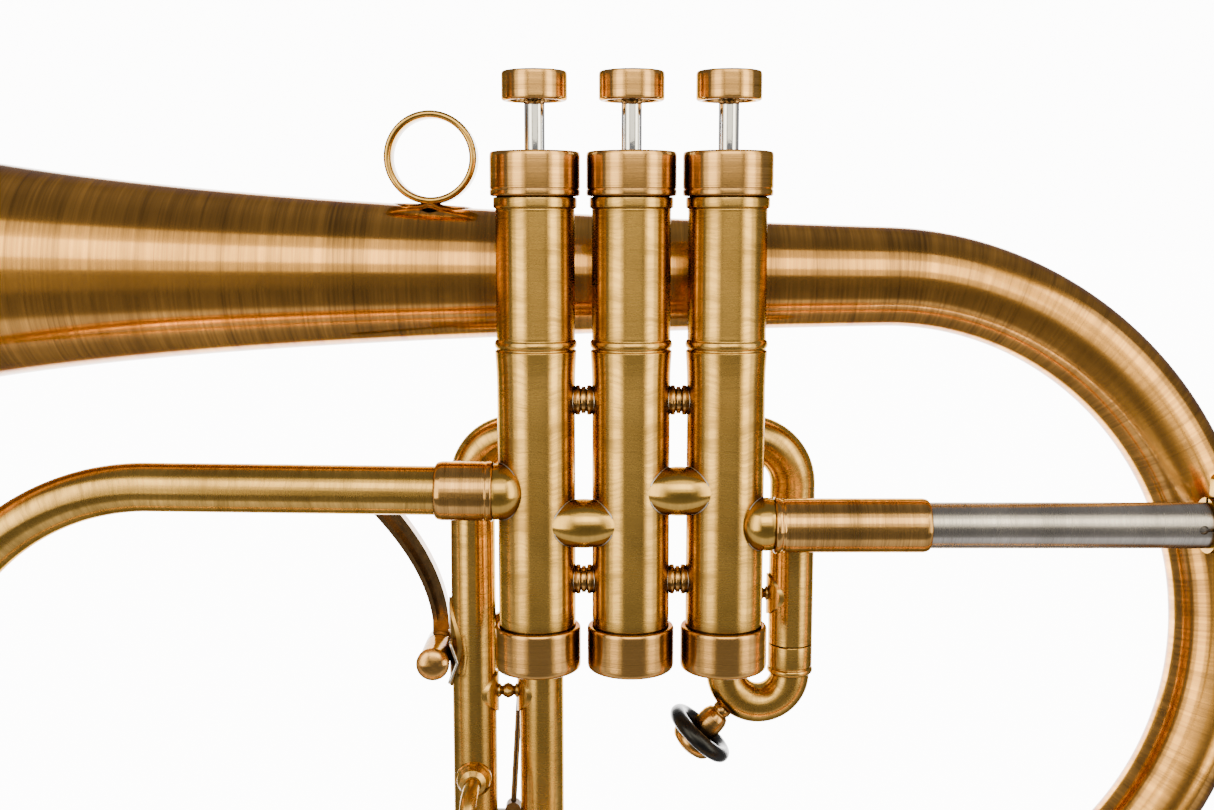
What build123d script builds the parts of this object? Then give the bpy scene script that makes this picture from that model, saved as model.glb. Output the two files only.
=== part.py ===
from build123d import *

import math
import os

os.makedirs("parts", exist_ok=True)

# Frame: origin at the mouth of the mouthpiece receiver, on the leadpipe's axis. +X is the way the
# mouthpiece pulls out, +Z is up through the buttons, and the leadpipe lies on the -Y side of the
# valves. The bell opens towards -X.

# ---------------------------------------------------------------- driving dimensions, millimetres
VALVE_SPACING = 23.5
MIDDLE_X = -215.0  # axis of the second valve
VALVE_X = [MIDDLE_X + VALVE_SPACING, MIDDLE_X, MIDDLE_X - VALVE_SPACING]  # first, second, third
VALVE_Y = 5.0  # the valves stand behind the leadpipe's axis
STROKE = 15.5

CASING_R = 9.65
CASING_BORE_R = 8.45
THREAD_R = 9.35  # casing ends inside the caps
CASING_TOP_Z = 84.0
CASING_BOTTOM_Z = -36.0
BEAD_Z = 44.6

TOP_CAP_R = 11.0
TOP_CAP_Z = (80.5, 91.3)
CAP_WEB_Z = (84.1, 86.1)
CAP_RECESS_R = 8.7
TOP_FELT = (3.2, 8.4, 1.2)  # inner radius, outer radius and thickness of the felt under a button
STOP_FELT = (3.2, 7.6, 1.8)  # the same of the felt that stops the piston under the cap
BOTTOM_CAP_R = 10.9
BOTTOM_CAP_Z = (-38.0, -26.6)
BOTTOM_CAP_FLOOR = 1.6

STEM_R = 2.5
STEM_THREAD = 2.4  # how deep the stem stops below the button's top
BUTTON_R = 7.95
BUTTON_Z = (103.3, 110.4)

PISTON_R = 8.4
PISTON_Z = (-19.0, 41.0)
BARREL_TOP_Z = 82.0
BARREL_R = 8.2
BARREL_BORE_R = 7.0
BARREL_LID = 1.8
GUIDE_Z = (46.0, 49.0)
SPRING_WIRE_R = 0.45
SPRING_COIL_R = 5.6
SPRING_TURNS = 9
KEYWAY_WIDTH = 2.5
KEYWAY_R = 9.05

POST_R = 2.9  # turned posts between the casings
POST_Z = (30.6, -14.8)
BELL_POST_Z = 60.0  # posts from the outer casings back to the bell
BELL_POST_LENGTH = 9.0

AIR_PORT_R = 5.0
FRONT_PORT_ANGLE = 25.0  # the leadpipe-side ports are turned this far towards the front
LOW_PORT_Z = 0.4  # inlet, and the knuckle between valves two and three
HIGH_PORT_Z = 8.5  # knuckle between valves one and two, and the outlet
UPPER_SLIDE_Z = 17.1  # slide ports on the casings' backs
LOWER_SLIDE_Z = -1.0

SLIDE_TUBE_R = 6.0
SLIDE_BORE_R = 5.4
INNER_LEG_R = 5.35
INNER_LEG_BORE_R = 4.9
SLIDE_Y = VALVE_Y + 28.0
FIRST_LEGS_X = (MIDDLE_X + 26.7, MIDDLE_X + 44.1)
THIRD_LEGS_X = (MIDDLE_X - 42.3, MIDDLE_X - 23.9)
SECOND_LEGS_Z = (LOWER_SLIDE_Z, UPPER_SLIDE_Z)
FIRST_SLIDE_END_Z = -39.4
THIRD_SLIDE_END_Z = -89.0
SECOND_SLIDE_END_Y = VALVE_Y + 25.0
FIRST_STAY_Z = -25.9
THIRD_STAY_Z = -53.3
BRACE_Z = -76.5
CROOK_GAP = 0.3
CROOK_FERRULE = 6.2
CROOK_BEAD = 2.2
FIRST_TRAVEL = 18.0
SECOND_TRAVEL = 9.0
THIRD_TRAVEL = 18.1

BELL_R = 78.0
BELL_RIM_X = MIDDLE_X - 270.0
BELL_SCALE = 38.3  # constants of the bell's power-law flare
BELL_POWER = 0.778
BELL_WALL = 0.7
RIM_BEAD_R = 1.5
BELL_Y = VALVE_Y + 30.0
BELL_Z = 60.0  # height of the bell's axis at the big bow
BELL_RISE = 0.007  # the bell's axis climbs this much per millimetre towards the rim

BOW_X = MIDDLE_X + 66.6  # where the big bow's curve begins and ends
BOW_WALL = 0.8
BOW_END_R = 10.0
BOW_START_R = 13.3
BOW_TAPER = 1.7
LOWER_Y = VALVE_Y - 2.0
FRONT_BOW_X = MIDDLE_X - 119.0
FRONT_BOW_R = 59.0
OUTLET_R = 6.05
FRONT_BOW_END_R = 7.0
OUTLET_RISE = 0.0123  # the outlet tube climbs this much per millimetre towards the front bow
LOWER_TUBE_X = FRONT_BOW_X + 6.0  # between the front bow and the lower tube
LOWER_JOINT_X = MIDDLE_X + 40.0  # between the lower tube and the big bow
OUTLET_TUBE_X = MIDDLE_X - 42.0  # where the front bow's tube starts, inside the ferrule
FRONT_BOW_WALL = 0.6
FERRULE_X = (MIDDLE_X - 33.9, MIDDLE_X - 48.2)  # over the joint of outlet knuckle and outlet tube

SLEEVE_X = (MIDDLE_X + 35.1, MIDDLE_X + 73.4)
SLEEVE_R = 6.7
TUNING_SLEEVE_R = 5.7
TUNING_SLEEVE_BORE_R = 5.15
TUNING_SLEEVE_X = (MIDDLE_X + 48.0, MIDDLE_X + 157.0)
KEYHOLE_X = MIDDLE_X + 139.3
KEYHOLE_R = 1.1
SLIT = 0.8
CLAMP_X = (MIDDLE_X + 142.0, MIDDLE_X + 154.0)
CLAMP_R = 6.9
CLAMP_SCREW_Z = CLAMP_R + 2.6
TUNING_PIPE_R = 5.1
TUNING_PIPE_BORE_R = 4.5
RECEIVER_LENGTH = 34.0
RECEIVER_R = 7.0
RECEIVER_BORE_R = 4.9
RECEIVER_BORE_LENGTH = 24.0

RING_X = MIDDLE_X - 52.2
RING_R = 12.15
RING_BORE_R = 10.25
RING_WIDTH = 8.0

PIVOT_X = MIDDLE_X - 52.6  # trigger axle
PIVOT_Z = -43.0
TRIGGER_ARM = 24.7
TRIGGER_REST_ANGLE = 21.5
AXLE_R = 2.0
AXLE_BORE_R = 2.05

OVERSHOOT = 5.0  # how far cutting tools run past a face
SOLDER_GAP = 0.02  # between the bell and what is fixed to it
BASE = (Align.CENTER, Align.CENTER, Align.MIN)  # shapes that stand on their origin


# ---------------------------------------------------------------- helpers
def rod(start, end, radius, end_radius=None):
    """A cylinder, or a cone, from one point to another."""
    a, b = Vector(*start), Vector(*end)
    plane = Plane(origin=a, z_dir=b - a)
    length = (b - a).length
    if end_radius is None:
        solid = Cylinder(radius, length, align=BASE)
    else:
        solid = Cone(radius, end_radius, length, align=BASE)
    return plane * solid


def pipe(start, end, radius, bore):
    """A straight tube from one point to another."""
    return rod(start, end, radius) - rod(start, end, bore)


def turned(points, x=0.0, y=0.0):
    """A solid turned about the vertical axis at (x, y) from (radius, z) points."""
    outline = Polyline(*[(r, 0, z) for r, z in points], close=True)
    return Pos(x, y, 0) * revolve(make_face(outline), Axis.Z)


def turned_along(points, start, direction):
    """A solid turned about the line from start along direction, from (radius, distance) points."""
    outline = Polyline(*[(r, 0, z) for r, z in points], close=True)
    plane = Plane(origin=Vector(*start), z_dir=Vector(*direction))
    return plane * revolve(make_face(outline), Axis.Z)


def bent_rod(points, radii, radius):
    """A round rod along straight runs joined by tangent arcs."""
    path = FilletPolyline(*points, radius=radii)
    section = Plane(origin=path @ 0, z_dir=path % 0) * Circle(radius)
    return sweep(section, path=path)


def bent_pipe(points, radii, radius, bore):
    """A tube along straight runs joined by tangent arcs."""
    return bent_rod(points, radii, radius) - bent_rod(points, radii, bore)


def tapered_rod(path, radius_at, sections, side):
    """A solid whose round section follows a path, with a radius given by the distance along it."""
    circles = []
    for i in range(sections + 1):
        t = i / sections
        plane = Plane(origin=path @ t, x_dir=side, z_dir=path % t)
        circles.append(plane * Circle(radius_at(t * path.length)))
    return loft(circles)


def tapered_pipe(path, radius_at, wall, sections, side):
    """A conical tube along a path."""
    outer = tapered_rod(path, radius_at, sections, side)
    inner = tapered_rod(path, lambda s: radius_at(s) - wall, sections, side)
    return outer - inner


def casing_core(i, radius=CASING_R):
    """The full cylinder that a valve casing fills, used to trim what is soldered to it."""
    return rod((VALVE_X[i], VALVE_Y, CASING_BOTTOM_Z), (VALVE_X[i], VALVE_Y, CASING_TOP_Z), radius)


def port_direction(side):
    """Unit vector from a casing's axis to its port: +1 and -1 are the front ports, 0 the back."""
    if side == 0:
        return Vector(0, 1, 0)
    angle = math.radians(FRONT_PORT_ANGLE)
    return Vector(side * math.cos(angle), -math.sin(angle), 0)


def ports_of(i):
    """(side, z) of the four ports of valve i: inlet, outlet, slide out, slide return."""
    inlet_z, outlet_z = (HIGH_PORT_Z, LOW_PORT_Z) if i == 1 else (LOW_PORT_Z, HIGH_PORT_Z)
    out_z, return_z = (UPPER_SLIDE_Z, LOWER_SLIDE_Z) if i == 1 else (LOWER_SLIDE_Z, UPPER_SLIDE_Z)
    return (1, inlet_z), (-1, outlet_z), (0, out_z), (0, return_z)


def port_cutter(i, side, z, length):
    """The round hole of one port, from the valve's axis outwards."""
    start = Vector(VALVE_X[i], VALVE_Y, z)
    return rod(tuple(start), tuple(start + port_direction(side) * length), AIR_PORT_R)


# ---------------------------------------------------------------- bell and main tube
def bell_radius(distance):
    """Outer radius of the bell at a distance from the rim along its axis."""
    return BELL_R * (BELL_SCALE / (distance + BELL_SCALE)) ** BELL_POWER


def bell_axis_z(x):
    """Height of the bell's axis."""
    return BELL_Z + BELL_RISE * (BOW_X - x)


def bell_plane():
    """Plane at the rim's centre whose normal runs down the bell towards the bow."""
    rim = Vector(BELL_RIM_X, BELL_Y, bell_axis_z(BELL_RIM_X))
    return Plane(origin=rim, x_dir=(0, 1, 0), z_dir=(1, 0, -BELL_RISE))


def bell_profile_points(offset, count=15):
    """Points of the flare, closer together near the rim, moved inwards by offset."""
    length = MIDDLE_X - BELL_RIM_X
    points = []
    for i in range(count):
        d = length * (i / (count - 1)) ** 2
        slope = -BELL_POWER * bell_radius(d) / (d + BELL_SCALE)
        scale = offset / math.hypot(1.0, slope)
        points.append((bell_radius(d) - scale, 0, d + slope * scale))
    return points


def make_bell():
    outer = Spline(*bell_profile_points(0.0))
    inner = Spline(*bell_profile_points(BELL_WALL))
    rim = Line(inner @ 0, outer @ 0)
    tail = Line(outer @ 1, inner @ 1)
    shell = revolve(make_face([rim, outer, tail, inner]), Axis.Z)
    bead = Pos(0, 0, 0.2) * Torus(BELL_R - RIM_BEAD_R, RIM_BEAD_R)
    tail_cut = Pos(0, 0, MIDDLE_X - BELL_RIM_X) * Cylinder(BELL_R, OVERSHOOT, align=BASE)
    return bell_plane() * (shell + bead - tail_cut)


def bell_filled(x, reach):
    """A solid cone that fills the bell on both sides of a station, used to trim what sits on it."""
    ends = x - reach, x + reach
    start, end = [(station, BELL_Y, bell_axis_z(station)) for station in ends]
    start_r, end_r = [bell_radius(station - BELL_RIM_X) + SOLDER_GAP for station in ends]
    return rod(start, end, start_r, end_r)


def outlet_point(x):
    """A point of the outlet tube's axis."""
    return Vector(x, 0, HIGH_PORT_Z + OUTLET_RISE * (VALVE_X[2] - OVERSHOOT - x))


def lower_point(x):
    """A point of the lower tube's axis, which leans from the front bow back to the big bow."""
    front_z = outlet_point(FRONT_BOW_X).Z - 2 * FRONT_BOW_R
    share = (x - FRONT_BOW_X) / (BOW_X - FRONT_BOW_X)
    return Vector(x, LOWER_Y * share, front_z - OUTLET_RISE * (x - FRONT_BOW_X))


def big_bow_path():
    start = Vector(MIDDLE_X, BELL_Y, bell_axis_z(MIDDLE_X))
    top = Vector(BOW_X, BELL_Y, BELL_Z)
    bottom = lower_point(BOW_X)
    end = lower_point(LOWER_JOINT_X)
    radius = (top - bottom).length / 2 - 0.4
    reach = radius + 0.4
    top_corner = top + (top - start).normalized() * reach
    bottom_corner = bottom + (bottom - end).normalized() * reach
    return FilletPolyline(start, top_corner, bottom_corner, end, radius=radius)


def big_bow_radius(path):
    """Radius along the big bow: the bell's law first, then the bow's own taper, then constant."""
    straight = BOW_X - MIDDLE_X
    curve = path.length - straight - (BOW_X - LOWER_JOINT_X)

    def radius(s):
        if s < straight:
            return bell_radius(MIDDLE_X - BELL_RIM_X + s)
        t = min(1.0, (s - straight) / curve)
        return BOW_END_R + (bell_radius(BOW_X - BELL_RIM_X) - BOW_END_R) * (1 - t) ** BOW_TAPER

    return radius


def make_big_bow():
    path = big_bow_path()
    return tapered_pipe(path, big_bow_radius(path), BOW_WALL, 26, (0, 1, 0))


def front_bow_path():
    start = outlet_point(OUTLET_TUBE_X)
    curve_start = outlet_point(FRONT_BOW_X)
    curve_end = lower_point(FRONT_BOW_X)
    out = (curve_start - start).normalized()
    back = (curve_end - lower_point(BOW_X)).normalized()
    reach = FRONT_BOW_R
    return FilletPolyline(
        start,
        curve_start + out * reach,
        curve_end + back * reach,
        lower_point(LOWER_TUBE_X),
        radius=FRONT_BOW_R - 0.6,
    )


def make_front_bow():
    path = front_bow_path()
    straight = (outlet_point(OUTLET_TUBE_X) - outlet_point(FRONT_BOW_X)).length

    def radius(s):
        t = max(0.0, (s - straight) / (path.length - straight))
        return OUTLET_R + (FRONT_BOW_END_R - OUTLET_R) * t

    return tapered_pipe(path, radius, FRONT_BOW_WALL, 24, (0, 1, 0))


def make_lower_tube():
    start = tuple(lower_point(LOWER_TUBE_X))
    end = tuple(lower_point(LOWER_JOINT_X))
    outer = rod(start, end, FRONT_BOW_END_R, BOW_END_R)
    return outer - rod(start, end, FRONT_BOW_END_R - FRONT_BOW_WALL, BOW_END_R - BOW_WALL)


def make_outlet_ferrule():
    start = outlet_point(FERRULE_X[0])
    end = outlet_point(FERRULE_X[1])
    length = (end - start).length
    bore = OUTLET_R + 0.01
    return turned_along(
        [(bore, 0), (6.9, 0), (7.3, 0.5), (7.3, length - 1.2), (7.0, length), (bore, length)],
        tuple(start),
        tuple(end - start),
    )


def make_bow_ferrules():
    """Bands over the joints at the two ends of the lower tube."""
    half_width = 7.0
    rings = []
    for x, tube_r, wall in ((LOWER_TUBE_X, FRONT_BOW_END_R, 1.1), (LOWER_JOINT_X, BOW_END_R, 1.2)):
        start = lower_point(x - half_width)
        end = lower_point(x + half_width)
        length = (end - start).length
        bore, outer = tube_r + 0.16, tube_r + wall
        outline = [
            (bore, 0),
            (outer - 0.4, 0),
            (outer, 0.6),
            (outer, length - 0.6),
            (outer - 0.4, length),
            (bore, length),
        ]
        rings.append(turned_along(outline, tuple(start), tuple(end - start)))
    return rings


# ---------------------------------------------------------------- valves
def make_casing(i):
    profile = [
        (CASING_BORE_R, CASING_BOTTOM_Z),
        (THREAD_R, CASING_BOTTOM_Z),
        (THREAD_R, BOTTOM_CAP_Z[1]),
        (CASING_R + 0.4, BOTTOM_CAP_Z[1]),
        (CASING_R + 0.4, BOTTOM_CAP_Z[1] + 0.9),
        (CASING_R, BOTTOM_CAP_Z[1] + 1.4),
        (CASING_R, BEAD_Z - 10.0),
        (CASING_R + 0.2, BEAD_Z - 3.4),
        (CASING_R + 0.35, BEAD_Z - 1.5),
        (CASING_R - 0.05, BEAD_Z - 1.3),
        (CASING_R - 0.05, BEAD_Z - 1.0),
        (CASING_R + 0.42, BEAD_Z - 0.7),
        (CASING_R + 0.42, BEAD_Z + 0.7),
        (CASING_R - 0.05, BEAD_Z + 1.0),
        (CASING_R, BEAD_Z + 1.3),
        (CASING_R, TOP_CAP_Z[0] - 3.0),
        (CASING_R + 0.5, TOP_CAP_Z[0] - 2.6),
        (CASING_R + 0.5, TOP_CAP_Z[0]),
        (THREAD_R, TOP_CAP_Z[0]),
        (THREAD_R, CASING_TOP_Z),
        (CASING_BORE_R, CASING_TOP_Z),
    ]
    casing = turned(profile, VALVE_X[i], VALVE_Y)
    for side, z in ports_of(i):
        casing -= port_cutter(i, side, z, CASING_R + OVERSHOOT)
    keyway_height = CASING_TOP_Z - GUIDE_Z[0] + OVERSHOOT
    keyway = Box(KEYWAY_WIDTH, 2 * KEYWAY_R, keyway_height, align=BASE)
    keyway &= Cylinder(KEYWAY_R, keyway_height, align=BASE)
    return casing - Pos(VALVE_X[i], VALVE_Y, GUIDE_Z[0]) * keyway


def make_top_cap(i):
    low, high = TOP_CAP_Z
    return turned(
        [
            (THREAD_R, low),
            (TOP_CAP_R - 0.5, low),
            (TOP_CAP_R, low + 0.4),
            (TOP_CAP_R, high - 0.5),
            (TOP_CAP_R - 0.5, high),
            (CAP_RECESS_R, high),
            (CAP_RECESS_R, CAP_WEB_Z[1]),
            (STEM_R + 0.1, CAP_WEB_Z[1]),
            (STEM_R + 0.1, CAP_WEB_Z[0]),
            (THREAD_R, CAP_WEB_Z[0]),
        ],
        VALVE_X[i],
        VALVE_Y,
    )


def make_bottom_cap(i):
    low, high = BOTTOM_CAP_Z
    return turned(
        [
            (1.6, low),
            (BOTTOM_CAP_R - 1.0, low),
            (BOTTOM_CAP_R, low + 0.7),
            (BOTTOM_CAP_R, high - 0.4),
            (BOTTOM_CAP_R - 0.4, high),
            (THREAD_R, high),
            (THREAD_R, low + BOTTOM_CAP_FLOOR),
            (1.6, low + BOTTOM_CAP_FLOOR),
        ],
        VALVE_X[i],
        VALVE_Y,
    )


def make_cap_felts():
    """Two felt washers per valve: one in the cap's recess, one under its web."""
    washers = []
    for (inner, outer, thickness), low in (
        (TOP_FELT, CAP_WEB_Z[1]),
        (STOP_FELT, CAP_WEB_Z[0] - STOP_FELT[2]),
    ):
        high = low + thickness
        for x in VALVE_X:
            washers.append(turned([(inner, low), (outer, low), (outer, high), (inner, high)], x, VALVE_Y))
    return washers


def passage(start, end):
    """An air passage through a piston: two straight bores that meet on the piston's axis."""
    middle = Vector(0, 0, (start[1] + end[1]) / 2)
    solid = Pos(*middle) * Sphere(AIR_PORT_R + 0.15)
    for side, z in (start, end):
        mouth = Vector(0, 0, z) + port_direction(side) * (PISTON_R + 1.0)
        solid += rod(tuple(middle), tuple(mouth), AIR_PORT_R)
    return solid


def make_piston(i):
    """Hollow-bottomed piston with three air passages, and the spring barrel on top of it."""
    low, high = PISTON_Z
    piston = turned([(0, low), (PISTON_R, low), (PISTON_R, high), (0, high)])
    inlet, outlet, slide_out, slide_return = ports_of(i)

    def raised(port):
        return port[0], port[1] + STROKE

    piston -= passage(inlet, outlet)
    piston -= passage(raised(inlet), raised(slide_out))
    piston -= passage(raised(slide_return), raised(outlet))
    piston -= rod((0, 0, low - 1), (0, 0, low + 10.0), PISTON_R - 1.0)
    barrel = turned(
        [
            (BARREL_BORE_R, high),
            (BARREL_R, high),
            (BARREL_R, BARREL_TOP_Z),
            (0, BARREL_TOP_Z),
            (0, BARREL_TOP_Z - BARREL_LID),
            (BARREL_BORE_R, BARREL_TOP_Z - BARREL_LID),
        ]
    )
    slot_low, slot_high = GUIDE_Z[0] - 0.5, GUIDE_Z[1] + STROKE + 0.7
    slot = Pos(0, 0, slot_low) * Box(3.0, 2 * PISTON_R + 2, slot_high - slot_low, align=BASE)
    return Pos(VALVE_X[i], VALVE_Y, 0) * (piston + (barrel - slot))


def make_stem(i):
    low, high = BARREL_TOP_Z, BUTTON_Z[1] - STEM_THREAD
    return turned([(0, low), (STEM_R, low), (STEM_R, high), (0, high)], VALVE_X[i], VALVE_Y)


def make_button(i):
    low, high = BUTTON_Z
    return turned(
        [
            (0, high - STEM_THREAD),
            (6.2, high - STEM_THREAD),
            (6.2, low),
            (BUTTON_R - 0.5, low),
            (BUTTON_R, low + 0.5),
            (BUTTON_R, high - 0.6),
            (BUTTON_R - 0.5, high),
            (BUTTON_R - 1.4, high),
            (BUTTON_R - 1.7, high - 0.3),
            (0, high - 0.7),
        ],
        VALVE_X[i],
        VALVE_Y,
    )


def make_guides():
    """Star guides, held in the casings' keyways, that keep the pistons from turning."""
    guides = []
    height = GUIDE_Z[1] - GUIDE_Z[0]
    tip_r = KEYWAY_R - 0.1
    for x in VALVE_X:
        star = Cylinder(6.6, height, align=BASE)
        star += Box(KEYWAY_WIDTH - 0.1, 2 * tip_r, height, align=BASE)
        star &= Cylinder(tip_r, height, align=BASE)
        guides.append(Pos(x, VALVE_Y, GUIDE_Z[0]) * (star - Cylinder(1.5, height, align=BASE)))
    return guides


def make_spring(i):
    """Coil spring between the guide and the lid of the piston's barrel."""
    low = GUIDE_Z[1] + SPRING_WIRE_R + 0.05
    high = BARREL_TOP_Z - BARREL_LID - SPRING_WIRE_R - 0.05
    path = Helix(pitch=(high - low) / SPRING_TURNS, height=high - low, radius=SPRING_COIL_R)
    path = Pos(VALVE_X[i], VALVE_Y, low) * path
    section = Plane(origin=path @ 0, z_dir=path % 0) * Circle(SPRING_WIRE_R)
    return sweep(section, path=path, is_frenet=True)


# ---------------------------------------------------------------- knuckles and stays
def barrel_knuckle(left, right, z):
    """A ball-shaped passage between two neighbouring casings, hollow all through."""
    centre_x = (VALVE_X[left] + VALVE_X[right]) / 2
    reach = 8.6

    def shape(radius, arc):
        sagitta = reach**2 / (2 * arc)
        outline = [
            Line((0, 0, -reach), (radius - sagitta, 0, -reach)),
            ThreePointArc((radius - sagitta, 0, -reach), (radius, 0, 0), (radius - sagitta, 0, reach)),
            Line((radius - sagitta, 0, reach), (0, 0, reach)),
            Line((0, 0, reach), (0, 0, -reach)),
        ]
        return Plane(origin=(centre_x, 0.5, z), z_dir=(1, 0, 0)) * revolve(make_face(outline), Axis.Z)

    bulge_radius = 15.4
    ball = shape(6.1, bulge_radius) - shape(5.3, bulge_radius)
    return ball - casing_core(left) - casing_core(right)


def end_knuckle(i, centre, radius, spigot_start, spigot_end, spigot_r):
    """A ball elbow soldered to a casing, with a spigot that the next tube slips over."""
    along = (spigot_end - spigot_start).normalized()
    spigot = rod(tuple(spigot_start), tuple(spigot_end), spigot_r)
    ball = Pos(*centre) * Sphere(radius)
    ball -= rod(tuple(spigot_start), tuple(spigot_start + along * 3 * radius), 2 * radius)
    ball += spigot + rod(tuple(centre), tuple(spigot_start), spigot_r)
    hollow = Pos(*centre) * Sphere(radius - 1.0)
    hollow -= rod(tuple(spigot_start), tuple(spigot_start + along * 3 * radius), 2 * radius)
    hollow += rod(tuple(centre), tuple(spigot_end + along), spigot_r - 0.8)
    return ball - hollow - casing_core(i)


def make_inlet_knuckle():
    start, end = Vector(SLEEVE_X[0], 0, 0), Vector(SLEEVE_X[0] + 6.0, 0, 0)
    return end_knuckle(0, Vector(MIDDLE_X + 33.0, 0, 0.3), 6.6, start, end, 5.1)


def make_outlet_knuckle():
    start, end = outlet_point(FERRULE_X[0]), outlet_point(MIDDLE_X - 41.8)
    return end_knuckle(2, Vector(MIDDLE_X - 32.6, 0, HIGH_PORT_Z), 7.0, start, end, 6.0)


def stay_profile(length):
    """Turned post with two rings and a waist, along its own axis."""
    half = length / 2
    return [
        (0, 0),
        (POST_R, 0),
        (POST_R, half * 0.35),
        (3.5, half * 0.45),
        (3.5, half * 0.8),
        (2.3, half * 0.92),
        (2.3, half * 1.08),
        (3.5, half * 1.2),
        (3.5, half * 1.55),
        (POST_R, half * 1.65),
        (POST_R, length),
        (0, length),
    ]


def make_valve_stays():
    """Four posts between the casings, and two short ones from the casings back to the bell."""
    sink = 1.0
    posts = []
    for left, right in ((1, 0), (2, 1)):
        start_x = VALVE_X[left] + CASING_R - sink
        length = VALVE_SPACING - 2 * CASING_R + 2 * sink
        for z in POST_Z:
            post = turned_along(stay_profile(length), (start_x, VALVE_Y, z), (1, 0, 0))
            posts.append(post - casing_core(left) - casing_core(right))
    for i in (0, 2):
        x = VALVE_X[i]
        start = (x, VALVE_Y + CASING_R - sink, BELL_POST_Z)
        post = turned_along(stay_profile(BELL_POST_LENGTH), start, (0, 1, 0)) - casing_core(i)
        posts.append(post - bell_filled(x, 8.0))
    return posts


# ---------------------------------------------------------------- leadpipe
def make_leadpipe_sleeve():
    start, end = SLEEVE_X
    length = end - start
    step = TUNING_SLEEVE_X[0] - start
    return turned_along(
        [
            (TUNING_SLEEVE_BORE_R, 0),
            (SLEEVE_R - 0.3, 0),
            (SLEEVE_R + 0.15, 0.4),
            (SLEEVE_R + 0.15, 1.6),
            (SLEEVE_R - 0.1, 2.0),
            (SLEEVE_R - 0.1, 2.5),
            (SLEEVE_R, 2.8),
            (SLEEVE_R, length - 1.0),
            (SLEEVE_R - 0.5, length),
            (TUNING_SLEEVE_R, length),
            (TUNING_SLEEVE_R, step),
            (TUNING_SLEEVE_BORE_R, step),
        ],
        (start, 0, 0),
        (1, 0, 0),
    )


def make_tuning_sleeve():
    start, end = TUNING_SLEEVE_X
    sleeve = pipe((start, 0, 0), (end, 0, 0), TUNING_SLEEVE_R, TUNING_SLEEVE_BORE_R)
    hole = rod((KEYHOLE_X, -OVERSHOOT - 3, 0), (KEYHOLE_X, OVERSHOOT + 3, 0), KEYHOLE_R)
    slit_length = end - KEYHOLE_X + 1
    slit = Pos(KEYHOLE_X + slit_length / 2, 0, 0) * Box(slit_length, 4 * TUNING_SLEEVE_R, SLIT)
    return sleeve - hole - slit


def make_tuning_clamp():
    start, end = CLAMP_X
    middle = (start + end) / 2
    band = pipe((start, 0, 0), (end, 0, 0), CLAMP_R, TUNING_SLEEVE_R)
    ears = Pos(middle, 0, CLAMP_R + 2.2) * Box(8.0, 7.0, 6.6)
    ears = fillet(ears.edges().filter_by(Axis.Y), 1.5)
    ears -= rod((start, 0, 0), (end, 0, 0), CLAMP_R - 0.4)
    gap = Pos(middle, 0, CLAMP_R + 2) * Box(end - start + 2, 1.4, 12.0)
    bore = rod((middle, -9, CLAMP_SCREW_Z), (middle, 9, CLAMP_SCREW_Z), 1.45)
    return band + ears - gap - bore


def make_clamp_screw():
    """Thumb screw whose head has grip flutes round it."""
    middle = (CLAMP_X[0] + CLAMP_X[1]) / 2
    head_r, head_y, shank_r, length = 4.0, -8.7, 1.38, 14.0
    outline = [
        (0, 0),
        (head_r - 0.4, 0),
        (head_r, 0.4),
        (head_r, 3.1),
        (head_r - 0.4, 3.5),
        (2.2, 3.5),
        (2.2, 5.0),
        (shank_r, 5.0),
        (shank_r, length),
        (0, length),
    ]
    screw = turned_along(outline, (middle, head_y, CLAMP_SCREW_Z), (0, 1, 0))
    flutes = 18
    flute_circle_r = head_r + 0.15
    for k in range(flutes):
        angle = 2 * math.pi * k / flutes
        x = middle + flute_circle_r * math.cos(angle)
        z = CLAMP_SCREW_Z + flute_circle_r * math.sin(angle)
        screw -= rod((x, head_y - 0.8, z), (x, head_y + 3.7, z), 0.4)
    return screw


def make_tuning_pipe():
    start = MIDDLE_X + 95.0
    end = -RECEIVER_LENGTH + 8.0
    return pipe((start, 0, 0), (end, 0, 0), TUNING_PIPE_R, TUNING_PIPE_BORE_R)


def make_receiver():
    length = RECEIVER_LENGTH
    step = length - RECEIVER_BORE_LENGTH
    return turned_along(
        [
            (TUNING_PIPE_R, 0),
            (5.9, 0),
            (6.2, 0.4),
            (6.2, 3.0),
            (5.9, 3.6),
            (RECEIVER_R - 0.4, length - 5.0),
            (RECEIVER_R, length - 4.4),
            (RECEIVER_R, length - 0.8),
            (RECEIVER_R - 0.7, length),
            (RECEIVER_BORE_R, length),
            (RECEIVER_BORE_R, step),
            (TUNING_PIPE_BORE_R, step - 0.4),
            (TUNING_PIPE_BORE_R, 8.0),
            (TUNING_PIPE_R, 8.0),
        ],
        (-length, 0, 0),
        (1, 0, 0),
    )


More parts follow.
